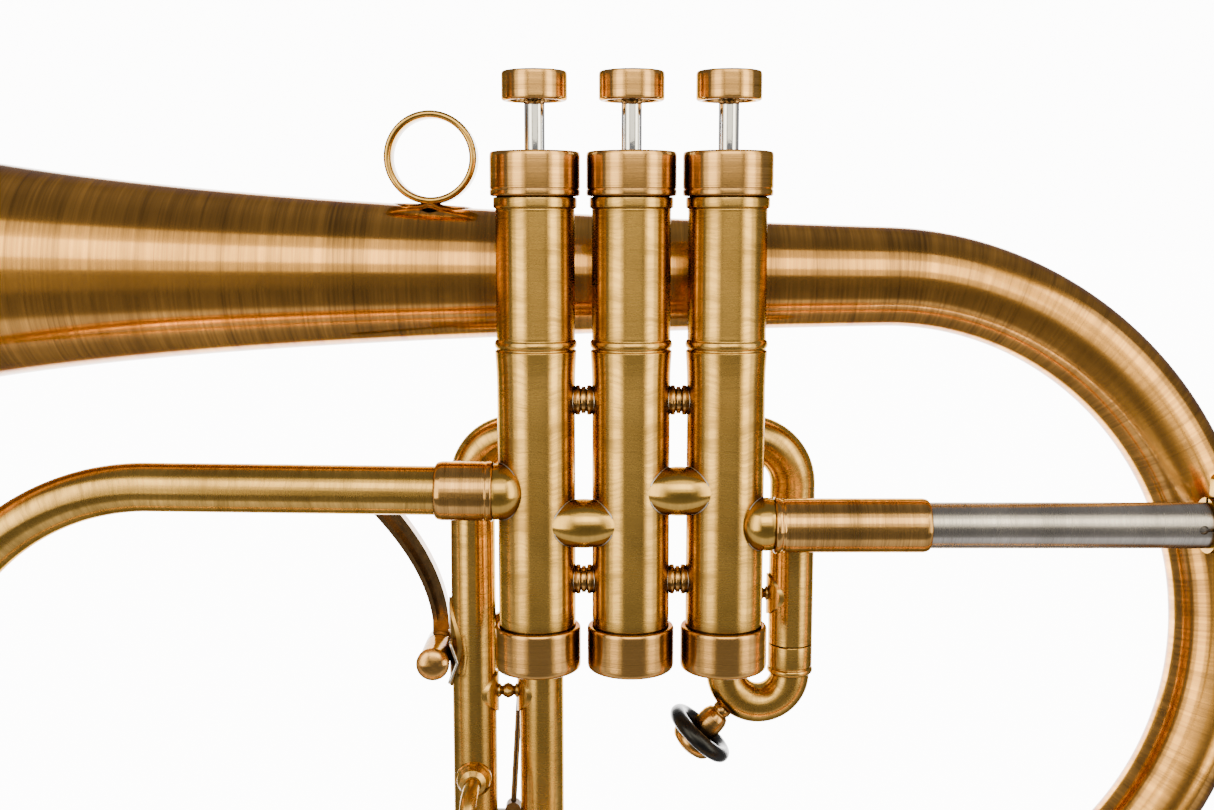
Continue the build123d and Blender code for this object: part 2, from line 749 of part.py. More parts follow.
# ---------------------------------------------------------------- slides
def vertical_slide_tubes(i, legs_x, far_leg, end_z):
    """Fixed tubes of a slide that hangs down behind its valve: a near and a far leg."""
    near_x = legs_x[0] if far_leg == 1 else legs_x[1]
    far_x = legs_x[far_leg]
    axis_x = VALVE_X[i]
    upper = [
        (axis_x, VALVE_Y + 6, UPPER_SLIDE_Z),
        (axis_x, SLIDE_Y, UPPER_SLIDE_Z),
        (far_x, SLIDE_Y, UPPER_SLIDE_Z),
        (far_x, SLIDE_Y, end_z),
    ]
    span = abs(far_x - axis_x)
    elbow = min(12.7, span * 0.62)
    lower = [
        (axis_x, VALVE_Y + 6, LOWER_SLIDE_Z),
        (near_x, SLIDE_Y, LOWER_SLIDE_Z),
        (near_x, SLIDE_Y, end_z),
    ]
    tubes = []
    for points, radii in ((upper, [span - elbow - 0.3, elbow]), (lower, [9.0])):
        tubes.append(bent_pipe(points, radii, SLIDE_TUBE_R, SLIDE_BORE_R) - casing_core(i))
    return tubes


def crook_rod(legs_x, top_z, bow_z, tube_r):
    """Two parallel legs joined by a half-round bend at the bottom."""
    radius = (legs_x[1] - legs_x[0]) / 2
    points = [
        (legs_x[0], SLIDE_Y, top_z),
        (legs_x[0], SLIDE_Y, bow_z - radius),
        (legs_x[1], SLIDE_Y, bow_z - radius),
        (legs_x[1], SLIDE_Y, top_z),
    ]
    return bent_rod(points, radius - 0.02, tube_r)


def vertical_crook(legs_x, top_z, end_z, bow_z):
    """Moving part of a hanging slide: inner legs, ferrules with beads, and the return bend."""
    crook = crook_rod(legs_x, top_z, bow_z, INNER_LEG_R)
    low = end_z - CROOK_GAP
    for x in legs_x:
        crook += turned(
            [
                (0, low),
                (SLIDE_TUBE_R - 0.15, low),
                (SLIDE_TUBE_R, low - 0.2),
                (SLIDE_TUBE_R, low - CROOK_FERRULE),
                (SLIDE_TUBE_R - 0.3, low - CROOK_FERRULE - 0.2),
                (SLIDE_TUBE_R - 0.3, low - CROOK_FERRULE - 0.45),
                (SLIDE_TUBE_R + 0.15, low - CROOK_FERRULE - 0.8),
                (SLIDE_TUBE_R + 0.15, low - CROOK_FERRULE - CROOK_BEAD + 0.5),
                (SLIDE_TUBE_R - 0.4, low - CROOK_FERRULE - CROOK_BEAD),
                (0, low - CROOK_FERRULE - CROOK_BEAD),
            ],
            x,
            SLIDE_Y,
        )
    return crook - crook_rod(legs_x, top_z, bow_z, INNER_LEG_BORE_R)


FIRST_BOW_Z = FIRST_SLIDE_END_Z - 8.6
THIRD_BOW_Z = THIRD_SLIDE_END_Z - 11.0
FIRST_LEG_TOP_Z = -12.0
THIRD_LEG_TOP_Z = -20.0
FIRST_BOW_X = (FIRST_LEGS_X[0] + FIRST_LEGS_X[1]) / 2
FIRST_BOW_R = (FIRST_LEGS_X[1] - FIRST_LEGS_X[0]) / 2
KNOB_ANGLE = math.radians(228.0)  # direction of the pull knob seen from the front
KNOB_DIRECTION = Vector(math.cos(KNOB_ANGLE), 0, math.sin(KNOB_ANGLE))
KNOB_SINK = 0.9  # how deep the knob's foot sits in the bow's surface


def knob_start(sink):
    """Point on the bow's outer side where the pull knob stands."""
    centre = Vector(FIRST_BOW_X, SLIDE_Y, FIRST_BOW_Z)
    return centre + KNOB_DIRECTION * (FIRST_BOW_R + INNER_LEG_R - sink)


def make_first_knob():
    """Turned post with a domed end cap that holds the rubber ring."""
    start = knob_start(KNOB_SINK)
    knob = turned_along(
        [
            (0, 0),
            (2.6, 0),
            (2.6, 1.7),
            (2.2, 2.2),
            (3.2, 2.8),
            (3.75, 4.2),
            (3.85, 6.0),
            (3.7, 8.0),
            (3.3, 9.4),
            (3.3, 12.6),
            (6.15, 12.8),
            (6.15, 14.0),
            (5.2, 15.3),
            (3.0, 16.2),
            (0, 16.5),
        ],
        tuple(start),
        tuple(KNOB_DIRECTION),
    )
    return knob - crook_rod(FIRST_LEGS_X, FIRST_LEG_TOP_Z, FIRST_BOW_Z, INNER_LEG_R)


def make_first_ring():
    """Rubber ring on the first slide's pull knob, with the web that seats it on the post."""
    centre = knob_start(KNOB_SINK) + KNOB_DIRECTION * 10.4
    plane = Plane(origin=centre, z_dir=KNOB_DIRECTION)
    web = Pos(0, 0, 0.9) * (Cylinder(7.4, 1.2, align=BASE) - Cylinder(3.35, 1.2, align=BASE))
    return plane * (Torus(8.1, 2.15) + web)


def make_second_slide_tubes():
    x = VALVE_X[1]
    tubes = []
    for z in SECOND_LEGS_Z:
        tube = pipe((x, VALVE_Y + 6, z), (x, SECOND_SLIDE_END_Y, z), SLIDE_TUBE_R, SLIDE_BORE_R)
        tubes.append(tube - casing_core(1))
    return tubes


def make_second_crook():
    x = VALVE_X[1]
    low_z, high_z = SECOND_LEGS_Z
    radius = (high_z - low_z) / 2
    inner_y = VALVE_Y + CASING_R + 3.0
    tip_y = SECOND_SLIDE_END_Y + 8.0 + radius
    points = [(x, inner_y, low_z), (x, tip_y, low_z), (x, tip_y, high_z), (x, inner_y, high_z)]
    crook = bent_rod(points, radius - 0.02, INNER_LEG_R)
    start = SECOND_SLIDE_END_Y + CROOK_GAP
    for z in SECOND_LEGS_Z:
        crook += turned_along(
            [
                (0, 0),
                (SLIDE_TUBE_R, 0),
                (SLIDE_TUBE_R, CROOK_FERRULE - 1.0),
                (SLIDE_TUBE_R - 0.3, CROOK_FERRULE - 0.8),
                (SLIDE_TUBE_R + 0.15, CROOK_FERRULE - 0.3),
                (SLIDE_TUBE_R + 0.15, CROOK_FERRULE + 0.8),
                (SLIDE_TUBE_R - 0.4, CROOK_FERRULE + 1.3),
                (0, CROOK_FERRULE + 1.3),
            ],
            (x, start, z),
            (0, 1, 0),
        )
    crook += turned_along(
        [(0, -1), (2.4, -1), (2.0, 1.4), (2.4, 2.6), (4.2, 3.6), (4.6, 4.8), (4.2, 6), (2.4, 6.8), (0, 7)],
        (x, tip_y + INNER_LEG_R, (low_z + high_z) / 2),
        (0, 1, 0),
    )
    return crook - bent_rod(points, radius - 0.02, INNER_LEG_BORE_R)


def slide_stay(x_left, x_right, z):
    """Turned post between two slide tubes, with a round flange wrapped on each tube."""
    left, right = x_left + SLIDE_TUBE_R, x_right - SLIDE_TUBE_R
    gap = right - left
    middle = (left + right) / 2
    post = turned_along(
        [
            (0, -0.6),
            (1.9, -0.6),
            (1.9, gap * 0.16),
            (1.2, gap * 0.24),
            (1.7, gap * 0.34),
            (2.15, gap * 0.5),
            (1.7, gap * 0.66),
            (1.2, gap * 0.76),
            (1.9, gap * 0.84),
            (1.9, gap + 0.6),
            (0, gap + 0.6),
        ],
        (left, SLIDE_Y, z),
        (1, 0, 0),
    )
    tubes = [rod((x, SLIDE_Y, z - 9), (x, SLIDE_Y, z + 9), SLIDE_TUBE_R) for x in (x_left, x_right)]
    flanges = []
    for x in (x_left, x_right):
        wrap = rod((x, SLIDE_Y, z - 8), (x, SLIDE_Y, z + 8), SLIDE_TUBE_R + 0.7)
        toward = 1 if x < middle else -1
        disc = rod((x + toward * 1.0, SLIDE_Y, z), (x + toward * 8.0, SLIDE_Y, z), 5.5)
        flanges.append(wrap & disc)
    solid = post + flanges[0] + flanges[1]
    return solid - tubes[0] - tubes[1]


def make_slide_stays():
    return [slide_stay(*FIRST_LEGS_X, FIRST_STAY_Z), slide_stay(*THIRD_LEGS_X, THIRD_STAY_Z)]


# ---------------------------------------------------------------- trigger
LINK_Y = SLIDE_Y + 8.0
ARM_Y = (LINK_Y + 1.3, LINK_Y + 3.3)
REST = math.radians(TRIGGER_REST_ANGLE)
ARM_TIP_X = PIVOT_X + TRIGGER_ARM * math.cos(REST)
ARM_TIP_Z = PIVOT_Z + TRIGGER_ARM * math.sin(REST)
SADDLE_Z = (-52.0, -27.0)


def make_trigger_saddle():
    """Lens-shaped plate wrapped on the third slide's outer tube, with the axle's barrel on it."""
    x = THIRD_LEGS_X[0]
    low, high = SADDLE_Z
    middle_z = (low + high) / 2
    wrap = rod((x, SLIDE_Y, low - 1), (x, SLIDE_Y, high + 1), SLIDE_TUBE_R + 0.7)
    half, width = (high - low) / 2, 5.3
    arc = (half**2 + width**2) / (2 * width)
    lens = Pos(x - 5, SLIDE_Y + width - arc, middle_z) * Rot(0, 90, 0) * Cylinder(arc, 10)
    lens &= Pos(x - 5, SLIDE_Y - width + arc, middle_z) * Rot(0, 90, 0) * Cylinder(arc, 10)
    plate = wrap & lens
    barrel = rod((PIVOT_X, SLIDE_Y - 8.5, PIVOT_Z), (PIVOT_X, ARM_Y[0] - 4.6, PIVOT_Z), 4.0)
    tube = rod((x, SLIDE_Y, low - 2), (x, SLIDE_Y, high + 2), SLIDE_TUBE_R)
    bore = rod((PIVOT_X, SLIDE_Y - 20, PIVOT_Z), (PIVOT_X, SLIDE_Y + 20, PIVOT_Z), AXLE_BORE_R)
    return plate + barrel - tube - bore


def make_trigger_axle():
    """Pivot pin with a domed head at the front; its rear end carries the lever."""
    head_y = SLIDE_Y - 8.8
    return turned_along(
        [
            (0, -2.6),
            (1.8, -2.5),
            (3.4, -2.0),
            (4.45, -1.1),
            (4.45, 0),
            (AXLE_R, 0),
            (AXLE_R, ARM_Y[1] - head_y + 0.6),
            (0, ARM_Y[1] - head_y + 0.6),
        ],
        (PIVOT_X, head_y, PIVOT_Z),
        (0, 1, 0),
    )


def lever_band(width_low, width_high, y_low, y_high):
    """A curved bar up the thumb lever's centre line, with a width that grows along it."""
    stations = [(0.6, 5.0), (0.0, 11.0), (-4.6, 24.0), (-14.4, 38.2), (-23.5, 48.0)]
    centre = Spline(*[(PIVOT_X + x, 0, PIVOT_Z + z) for x, z in stations])
    left, right = [], []
    count = 8
    for k in range(count + 1):
        t = k / count
        point, tangent = centre @ t, centre % t
        half = (width_low + (width_high - width_low) * math.sin(t * math.pi / 2)) / 2
        left.append((point.X - tangent.Z * half, y_low, point.Z + tangent.X * half))
        right.append((point.X + tangent.Z * half, y_low, point.Z - tangent.X * half))
    side_a, side_b = Spline(*left), Spline(*right)
    outline = [side_a, side_b, Line(side_a @ 0, side_b @ 0), Line(side_a @ 1, side_b @ 1)]
    return extrude(make_face(outline), amount=y_high - y_low, dir=(0, 1, 0))


def make_trigger_lever():
    """Thumb lever of channel section, its hub, and the arm that drives the link."""
    y_low, y_high = SLIDE_Y + SLIDE_TUBE_R + 0.6, ARM_Y[1]
    y_mid = (ARM_Y[0] + ARM_Y[1]) / 2
    bar = lever_band(4.4, 5.6, y_low, y_high)
    bar -= lever_band(1.9, 3.0, y_low - 1, y_high - 1.5)
    hub = rod((PIVOT_X, ARM_Y[0] - 4.0, PIVOT_Z), (PIVOT_X, ARM_Y[1], PIVOT_Z), 4.0)
    foot = Pos(PIVOT_X + 0.4, (y_low + y_high) / 2, PIVOT_Z + 4.5) * Box(4.4, y_high - y_low, 6.0)
    arm_middle = ((PIVOT_X + ARM_TIP_X) / 2, y_mid, (PIVOT_Z + ARM_TIP_Z) / 2)
    arm = Pos(*arm_middle) * Rot(0, -TRIGGER_REST_ANGLE, 0) * Box(TRIGGER_ARM, ARM_Y[1] - ARM_Y[0], 4.4)
    boss = rod((ARM_TIP_X, ARM_Y[0], ARM_TIP_Z), (ARM_TIP_X, ARM_Y[1], ARM_TIP_Z), 2.9)
    pin = rod((ARM_TIP_X, LINK_Y - 1.6, ARM_TIP_Z), (ARM_TIP_X, ARM_Y[0] + 0.2, ARM_TIP_Z), 1.0)
    bore = rod((PIVOT_X, SLIDE_Y - 20, PIVOT_Z), (PIVOT_X, SLIDE_Y + 20, PIVOT_Z), AXLE_R)
    return bar + hub + foot + arm + boss + pin - bore


def make_trigger_link():
    """Link rod from the lever's pin to a bracket across the third slide's ferrules."""
    bracket_z = THIRD_SLIDE_END_Z - CROOK_GAP - 3.2
    foot = (THIRD_LEGS_X[0] + THIRD_LEGS_X[1]) / 2 + 0.6
    top = Vector(ARM_TIP_X, LINK_Y, ARM_TIP_Z)
    bottom = Vector(foot, LINK_Y, bracket_z + 2.6)
    swing = TRIGGER_ARM * (1 - math.cos(REST))
    eye = Pos(ARM_TIP_X + swing / 2, LINK_Y, ARM_TIP_Z) * Box(swing + 5.6, 1.8, 5.4)
    eye = fillet(eye.edges().filter_by(Axis.Y), 2.2)
    slot = Pos(ARM_TIP_X + swing / 2, LINK_Y, ARM_TIP_Z) * Box(swing + 2.7, 4.0, 2.5)
    slot = fillet(slot.edges().filter_by(Axis.Y), 1.15)
    link = eye + rod(tuple(top + Vector(0.4, 0, -2.4)), tuple(bottom), 0.85)
    bar_length = THIRD_LEGS_X[1] - THIRD_LEGS_X[0]
    bar_middle = (THIRD_LEGS_X[0] + THIRD_LEGS_X[1]) / 2
    bar = Pos(bar_middle, SLIDE_Y + 6.9, bracket_z) * Box(bar_length, 2.4, 3.6)
    bar = fillet(bar.edges().filter_by(Axis.Y), 1.2)
    knuckle = rod((foot, LINK_Y - 1.8, bracket_z + 2.0), (foot, LINK_Y + 2.0, bracket_z + 2.0), 2.2)
    link = link + bar + knuckle - slot
    for x in THIRD_LEGS_X:
        link -= rod((x, SLIDE_Y, bracket_z - 8), (x, SLIDE_Y, bracket_z + 12), SLIDE_TUBE_R + 0.01)
    return link


def make_trigger_spring():
    """Bent wire spring in front of the axle's barrel, with both ends turned back to the saddle."""
    wire = 0.45
    front_y = SLIDE_Y - 9.6
    clearance = 0.1
    tube_x = THIRD_LEGS_X[0]
    reach = SLIDE_TUBE_R + 0.7

    def landing(offset_x, offset_z):
        gap = tube_x - (PIVOT_X + offset_x) - wire
        depth = math.sqrt(reach**2 - gap**2)
        return PIVOT_X + offset_x, SLIDE_Y - depth - clearance, PIVOT_Z + offset_z

    points = [
        landing(4.8, 5.8),
        (PIVOT_X + 4.8, front_y, PIVOT_Z + 5.8),
        (PIVOT_X + 6.6, front_y, PIVOT_Z + 0.4),
        (PIVOT_X + 4.4, front_y, PIVOT_Z - 5.2),
        landing(4.4, -5.2),
    ]
    return bent_rod(points, [1.0, 1.2, 1.0], wire)


# ---------------------------------------------------------------- brace, ring and water key
def make_lower_brace():
    """Curved rod with a ball flange, from the third slide's tube to the lower tube."""
    x = THIRD_LEGS_X[0]
    z = BRACE_Z
    tube_front = SLIDE_Y - SLIDE_TUBE_R
    ball = turned_along(
        [(0, -0.8), (4.9, -0.8), (4.9, 0.2), (4.6, 0.7), (4.4, 1.3), (3.6, 2.9), (2.4, 3.9), (0, 4.3)],
        (x, tube_front, z),
        (0, -1, 0),
    )
    landing = lower_point(x - 2.0)
    curve = bent_rod(
        [
            (x, tube_front - 3.0, z),
            (x - 0.5, tube_front - 12.0, z - 1.5),
            (x - 2.0, landing.Y + 4.0, landing.Z + 4.0),
        ],
        [8.0],
        2.2,
    )
    slide_tube = rod((x, SLIDE_Y, z - 12), (x, SLIDE_Y, z + 12), SLIDE_TUBE_R)
    return ball + curve - slide_tube - lower_tube_filled()


def make_finger_ring():
    centre_z = bell_axis_z(RING_X) + bell_radius(RING_X - BELL_RIM_X) + RING_R + 0.3
    centre = (RING_X, BELL_Y, centre_z)
    plane = Plane(origin=centre, z_dir=(0, 1, 0))
    half = RING_WIDTH / 2
    band = plane * revolve(
        make_face(
            Polyline(
                (RING_BORE_R + 0.35, 0, -half),
                (RING_R - 0.5, 0, -half),
                (RING_R, 0, -half + 0.6),
                (RING_R, 0, half - 0.6),
                (RING_R - 0.5, 0, half),
                (RING_BORE_R + 0.35, 0, half),
                (RING_BORE_R, 0, half - 0.5),
                (RING_BORE_R, 0, -half + 0.5),
                close=True,
            )
        ),
        Axis.Z,
    )
    foot = Pos(RING_X, BELL_Y, centre_z - RING_R - 0.2) * Box(12.0, 6.4, 3.4)
    foot = fillet(foot.edges().filter_by(Axis.Z), 2.4)
    foot -= plane * Cylinder(RING_R - 0.6, 20)
    return band + foot - bell_filled(RING_X, 12.0)


WATER_KEY_X = FRONT_BOW_X + 46.0
WATER_KEY_PIVOT = 14.0  # from the water hole back to the pin


def lower_tube_filled():
    """The solid cone that the lower tube fills, used to trim what is soldered to it."""
    start, end = lower_point(LOWER_TUBE_X), lower_point(LOWER_JOINT_X)
    return rod(tuple(start), tuple(end), FRONT_BOW_END_R, BOW_END_R)


def water_key_places():
    """Underside of the lower tube at the water hole, and the centre of the key's pin."""
    share = (WATER_KEY_X - LOWER_TUBE_X) / (LOWER_JOINT_X - LOWER_TUBE_X)
    radius = FRONT_BOW_END_R + (BOW_END_R - FRONT_BOW_END_R) * share
    under = lower_point(WATER_KEY_X) - Vector(0, 0, radius)
    return under, under + Vector(WATER_KEY_PIVOT, 0, -4.0)


def make_water_key_saddle():
    """Nipple round the water hole, and the two posts with the pin across them."""
    under, pin_at = water_key_places()
    x, y, low = under.X, under.Y, under.Z
    nipple = pipe((x, y, low + 2.0), (x, y, low - 1.6), 3.1, 1.6)
    posts = Pos(pin_at.X, y, low - 1.6) * Box(5.6, 9.4, 9.4)
    posts = fillet(posts.edges().filter_by(Axis.Y), 2.4)
    posts -= Pos(pin_at.X, y, low - 5.0) * Box(9.0, 6.4, 8.4)
    pin = rod((pin_at.X, y - 7.1, pin_at.Z), (pin_at.X, y + 4.9, pin_at.Z), 0.9)
    tube = lower_tube_filled()
    return [nipple - tube, posts + pin - tube]


def make_water_key_lever():
    """Cup, hub and thumb plate of the water key."""
    under, pin_at = water_key_places()
    x, y, low = under.X, under.Y, under.Z
    cup = rod((x, y, low - 2.0), (x, y, low - 4.8), 4.0)
    arm = Pos(x + WATER_KEY_PIVOT / 2 + 0.5, y, pin_at.Z - 0.4) * Box(10.6, 3.0, 1.8)
    thumb = Pos(11.0, 0, -0.6) * Box(21.0, 3.0, 1.8) + Pos(20.0, 0, -0.6) * Cylinder(4.2, 1.8)
    thumb = Pos(*pin_at) * Rot(0, 10.0, 0) * thumb
    hub = rod((pin_at.X, y - 2.9, pin_at.Z), (pin_at.X, y + 2.9, pin_at.Z), 2.2)
    lever = cup + arm + thumb + hub
    lever -= rod((pin_at.X, y - 6, pin_at.Z), (pin_at.X, y + 6, pin_at.Z), 0.95)
    return lever - rod((x, y, low - 1.0), (x, y, low - 3.6), 3.4)


def make_water_key_cork():
    under, _ = water_key_places()
    top, bottom = under - Vector(0, 0, 1.62), under - Vector(0, 0, 3.6)
    return rod(tuple(top), tuple(bottom), 3.4)


def make_water_key_spring():
    """Torsion coil on the pin's end, with one leg forwards and one back."""
    _, pin_at = water_key_places()
    wire, pitch, coil_r, leg = 0.3, 0.68, 1.3, 7.0
    coil = Helix(pitch=pitch, height=2 * pitch, radius=coil_r)
    start_leg = Line(coil @ 0 - coil % 0 * leg, coil @ 0)
    end_leg = Line(coil @ 1, coil @ 1 + coil % 1 * leg)
    path = Wire([start_leg, coil, end_leg])
    section = Plane(origin=path @ 0, z_dir=path % 0) * Circle(wire)
    place = Plane(origin=pin_at + Vector(0, -6.7, 0), x_dir=(0, 0, 1), z_dir=(0, 1, 0))
    return place * sweep(section, path=path)


# ---------------------------------------------------------------- write the nodes
def write(name, shape):
    solids = []
    for item in shape if isinstance(shape, (list, tuple)) else [shape]:
        solids.extend(item.solids())
    export_step(Compound(children=solids) if len(solids) > 1 else solids[0], f"parts/{name}.step")
    print(name, len(solids), round(sum(s.volume for s in solids)))


def main():
    write("bell", make_bell())
    write("big_bow", make_big_bow())
    write("front_bow", make_front_bow())
    write("lower_tube", make_lower_tube())
    write("outlet_ferrule", make_outlet_ferrule())
    write("bow_ferrules", make_bow_ferrules())
    for i in range(3):
        number = i + 1
        write(f"valve_casing_{number}", make_casing(i))
        write(f"top_cap_{number}", make_top_cap(i))
        write(f"bottom_cap_{number}", make_bottom_cap(i))
        write(f"piston_{number}", make_piston(i))
        write(f"piston_stem_{number}", make_stem(i))
        write(f"finger_button_{number}", make_button(i))
        write(f"valve_spring_{number}", make_spring(i))
    write("valve_guides", make_guides())
    write("cap_felts", make_cap_felts())
    write("inlet_knuckle", make_inlet_knuckle())
    write("knuckle_1_2", barrel_knuckle(1, 0, HIGH_PORT_Z))
    write("knuckle_2_3", barrel_knuckle(2, 1, LOW_PORT_Z))
    write("outlet_knuckle", make_outlet_knuckle())
    write("valve_stays", make_valve_stays())
    write("leadpipe_sleeve", make_leadpipe_sleeve())
    write("tuning_sleeve", make_tuning_sleeve())
    write("tuning_clamp", make_tuning_clamp())
    write("clamp_screw", make_clamp_screw())
    write("tuning_pipe", make_tuning_pipe())
    write("mouthpiece_receiver", make_receiver())
    write("first_slide_tubes", vertical_slide_tubes(0, FIRST_LEGS_X, 1, FIRST_SLIDE_END_Z))
    write(
        "first_slide_crook",
        vertical_crook(FIRST_LEGS_X, FIRST_LEG_TOP_Z, FIRST_SLIDE_END_Z, FIRST_BOW_Z),
    )
    write("first_slide_knob", make_first_knob())
    write("first_slide_ring", make_first_ring())
    write("second_slide_tubes", make_second_slide_tubes())
    write("second_slide_crook", make_second_crook())
    write("third_slide_tubes", vertical_slide_tubes(2, THIRD_LEGS_X, 0, THIRD_SLIDE_END_Z))
    write(
        "third_slide_crook",
        vertical_crook(THIRD_LEGS_X, THIRD_LEG_TOP_Z, THIRD_SLIDE_END_Z, THIRD_BOW_Z),
    )
    write("slide_stays", make_slide_stays())
    write("trigger_saddle", make_trigger_saddle())
    write("trigger_axle", make_trigger_axle())
    write("trigger_lever", make_trigger_lever())
    write("trigger_link", make_trigger_link())
    write("trigger_spring", make_trigger_spring())
    write("lower_brace", make_lower_brace())
    write("finger_ring", make_finger_ring())
    write("water_key_saddle", make_water_key_saddle())
    write("water_key_lever", make_water_key_lever())
    write("water_key_cork", make_water_key_cork())
    write("water_key_spring", make_water_key_spring())


main()
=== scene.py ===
import math

import bmesh
import bpy
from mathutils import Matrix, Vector


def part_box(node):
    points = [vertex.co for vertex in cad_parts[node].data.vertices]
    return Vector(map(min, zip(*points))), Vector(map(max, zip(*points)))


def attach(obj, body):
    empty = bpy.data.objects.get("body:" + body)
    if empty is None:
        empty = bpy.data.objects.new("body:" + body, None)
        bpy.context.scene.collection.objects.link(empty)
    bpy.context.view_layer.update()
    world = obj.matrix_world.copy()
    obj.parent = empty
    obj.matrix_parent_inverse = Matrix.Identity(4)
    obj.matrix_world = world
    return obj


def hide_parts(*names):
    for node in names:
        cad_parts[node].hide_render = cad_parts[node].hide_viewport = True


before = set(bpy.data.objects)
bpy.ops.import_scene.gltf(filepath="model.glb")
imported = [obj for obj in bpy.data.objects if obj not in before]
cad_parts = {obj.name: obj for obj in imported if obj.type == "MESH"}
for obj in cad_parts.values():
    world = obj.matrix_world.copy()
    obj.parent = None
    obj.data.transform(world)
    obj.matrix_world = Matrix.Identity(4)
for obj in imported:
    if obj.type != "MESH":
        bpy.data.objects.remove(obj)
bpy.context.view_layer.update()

MM = 0.001
SEGMENTS = 96


# ---------------------------------------------------------------- frame positions, in metres
def low(node):
    return Vector(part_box(node)[0])


def high(node):
    return Vector(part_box(node)[1])


def centre(node):
    return (low(node) + high(node)) / 2


VALVES = [Vector((centre(f"valve_casing_{n}").x, centre(f"valve_casing_{n}").y, 0)) for n in (1, 2, 3)]
CASING_R = 9.65 * MM
IN_CASING_WALL = 8.9 * MM  # where a piece that runs into a casing ends, from the valve's axis
PISTON_ROOM = 8.7 * MM
MIDDLE_X = VALVES[1].x
VALVE_Y = VALVES[1].y
SLIDE_Y = centre("first_slide_crook").y


# ---------------------------------------------------------------- mesh helpers
def soften(points, radius, steps=3):
    """Rounds the corners of an open outline given as (radius, distance) pairs."""
    result = [points[0]]
    for before, corner, after in zip(points, points[1:], points[2:]):
        a, p, b = Vector(before), Vector(corner), Vector(after)
        cut = min(radius, (a - p).length * 0.45, (b - p).length * 0.45)
        start, end = p + (a - p).normalized() * cut, p + (b - p).normalized() * cut
        for k in range(steps + 1):
            t = k / steps
            result.append(tuple(start * (1 - t) ** 2 + p * 2 * t * (1 - t) + end * t**2))
    result.append(points[-1])
    return result


def build_mesh(name, rings, along, material, body, closed=False, ends=(False, False), sharp=38.0):
    """A piece from rings of points, with the distance along and the place round each ring stored."""
    verts = [p for ring in rings for p in ring]
    size = len(rings[0])
    faces, uvs = [], []
    count = len(rings)
    pairs = [(i, i + 1) for i in range(count - 1)] + ([(count - 1, 0)] if closed else [])
    for i, j in pairs:
        far = along[j] if j > i else along[i] + (along[1] - along[0])
        for k in range(size):
            m = (k + 1) % size
            faces.append((i * size + k, i * size + m, j * size + m, j * size + k))
            a, b = k / size, (k + 1) / size
            uvs += [(along[i], a), (along[i], b), (far, b), (far, a)]
    for flag, i, order in ((ends[0], 0, -1), (ends[1], count - 1, 1)):
        if flag:
            faces.append(tuple(i * size + k for k in range(size))[::order])
            uvs += [(along[i], k / size) for k in range(size)][::order]
    mesh = bpy.data.meshes.new(name)
    mesh.from_pydata(verts, [], faces)
    layer = mesh.uv_layers.new(name="lay_uv")
    for loop, uv in zip(layer.data, uvs):
        loop.uv = uv
    lay = mesh.attributes.new("lay", "FLOAT_VECTOR", "POINT")
    data = []
    for i in range(count):
        for k in range(size):
            angle = 2 * math.pi * k / size
            data += [along[i], math.cos(angle), math.sin(angle)]
    lay.data.foreach_set("vector", data)
    mesh.materials.append(material)
    mesh.shade_smooth()
    mesh.set_sharp_from_angle(angle=math.radians(sharp))
    mesh.update()
    obj = bpy.data.objects.new(name, mesh)
    bpy.context.scene.collection.objects.link(obj)
    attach(obj, body)
    return obj


def axes_of(direction, hint=None):
    """Two unit vectors square to a direction."""
    n = Vector(direction).normalized()
    if hint is None:
        hint = Vector((0, 0, 1)) if abs(n.z) < 0.9 else Vector((1, 0, 0))
    u = (hint - n * hint.dot(n)).normalized()
    return n, u, n.cross(u)


def lathe(name, origin, direction, profile, material, body, segments=SEGMENTS, closed=False, sharp=38.0):
    """Turns an outline of (radius, distance) pairs, in metres, about a line."""
    n, u, v = axes_of(direction)
    origin = Vector(origin)
    rings, along, travelled = [], [], 0.0
    for i, (radius, distance) in enumerate(profile):
        if i:
            travelled += (Vector(profile[i]) - Vector(profile[i - 1])).length
        radius = max(radius, 1e-6)
        rings.append(
            [
                origin + n * distance + (u * math.cos(a) + v * math.sin(a)) * radius
                for a in (2 * math.pi * k / segments for k in range(segments))
            ]
        )
        along.append(travelled)
    return build_mesh(name, rings, along, material, body, closed=closed, sharp=sharp)


def sweep(name, points, radius, material, body, segments=64, ends=(True, True)):
    """A round tube along a row of points; radius is a number or a list."""
    points = [Vector(p) for p in points]
    radii = radius if isinstance(radius, list) else [radius] * len(points)
    tangents = []
    for i in range(len(points)):
        tangents.append((points[min(i + 1, len(points) - 1)] - points[max(i - 1, 0)]).normalized())
    u = axes_of(tangents[0])[1]
    rings, along, travelled = [], [], 0.0
    for i, (p, t) in enumerate(zip(points, tangents)):
        u = (u - t * u.dot(t)).normalized()
        v = t.cross(u)
        if i:
            travelled += (p - points[i - 1]).length
        rings.append(
            [
                p + (u * math.cos(a) + v * math.sin(a)) * radii[i]
                for a in (2 * math.pi * k / segments for k in range(segments))
            ]
        )
        along.append(travelled)
    return build_mesh(name, rings, along, material, body, ends=ends)


def keep_out_of_bores(piece):
    """Ends a piece inside the wall of the casing that it runs into, clear of the piston."""
    shape = bmesh.new()
    shape.from_mesh(piece.data)
    for axis in VALVES:
        for vertex in shape.verts:
            away = Vector((vertex.co.x - axis.x, vertex.co.y - axis.y, 0))
            if away.length < IN_CASING_WALL:
                vertex.co += away.normalized() * (IN_CASING_WALL - away.length)
        across = [f for f in shape.faces if (f.calc_center_median().xy - axis.xy).length < PISTON_ROOM]
        bmesh.ops.delete(shape, geom=across, context="FACES")
    shape.to_mesh(piece.data)
    shape.free()


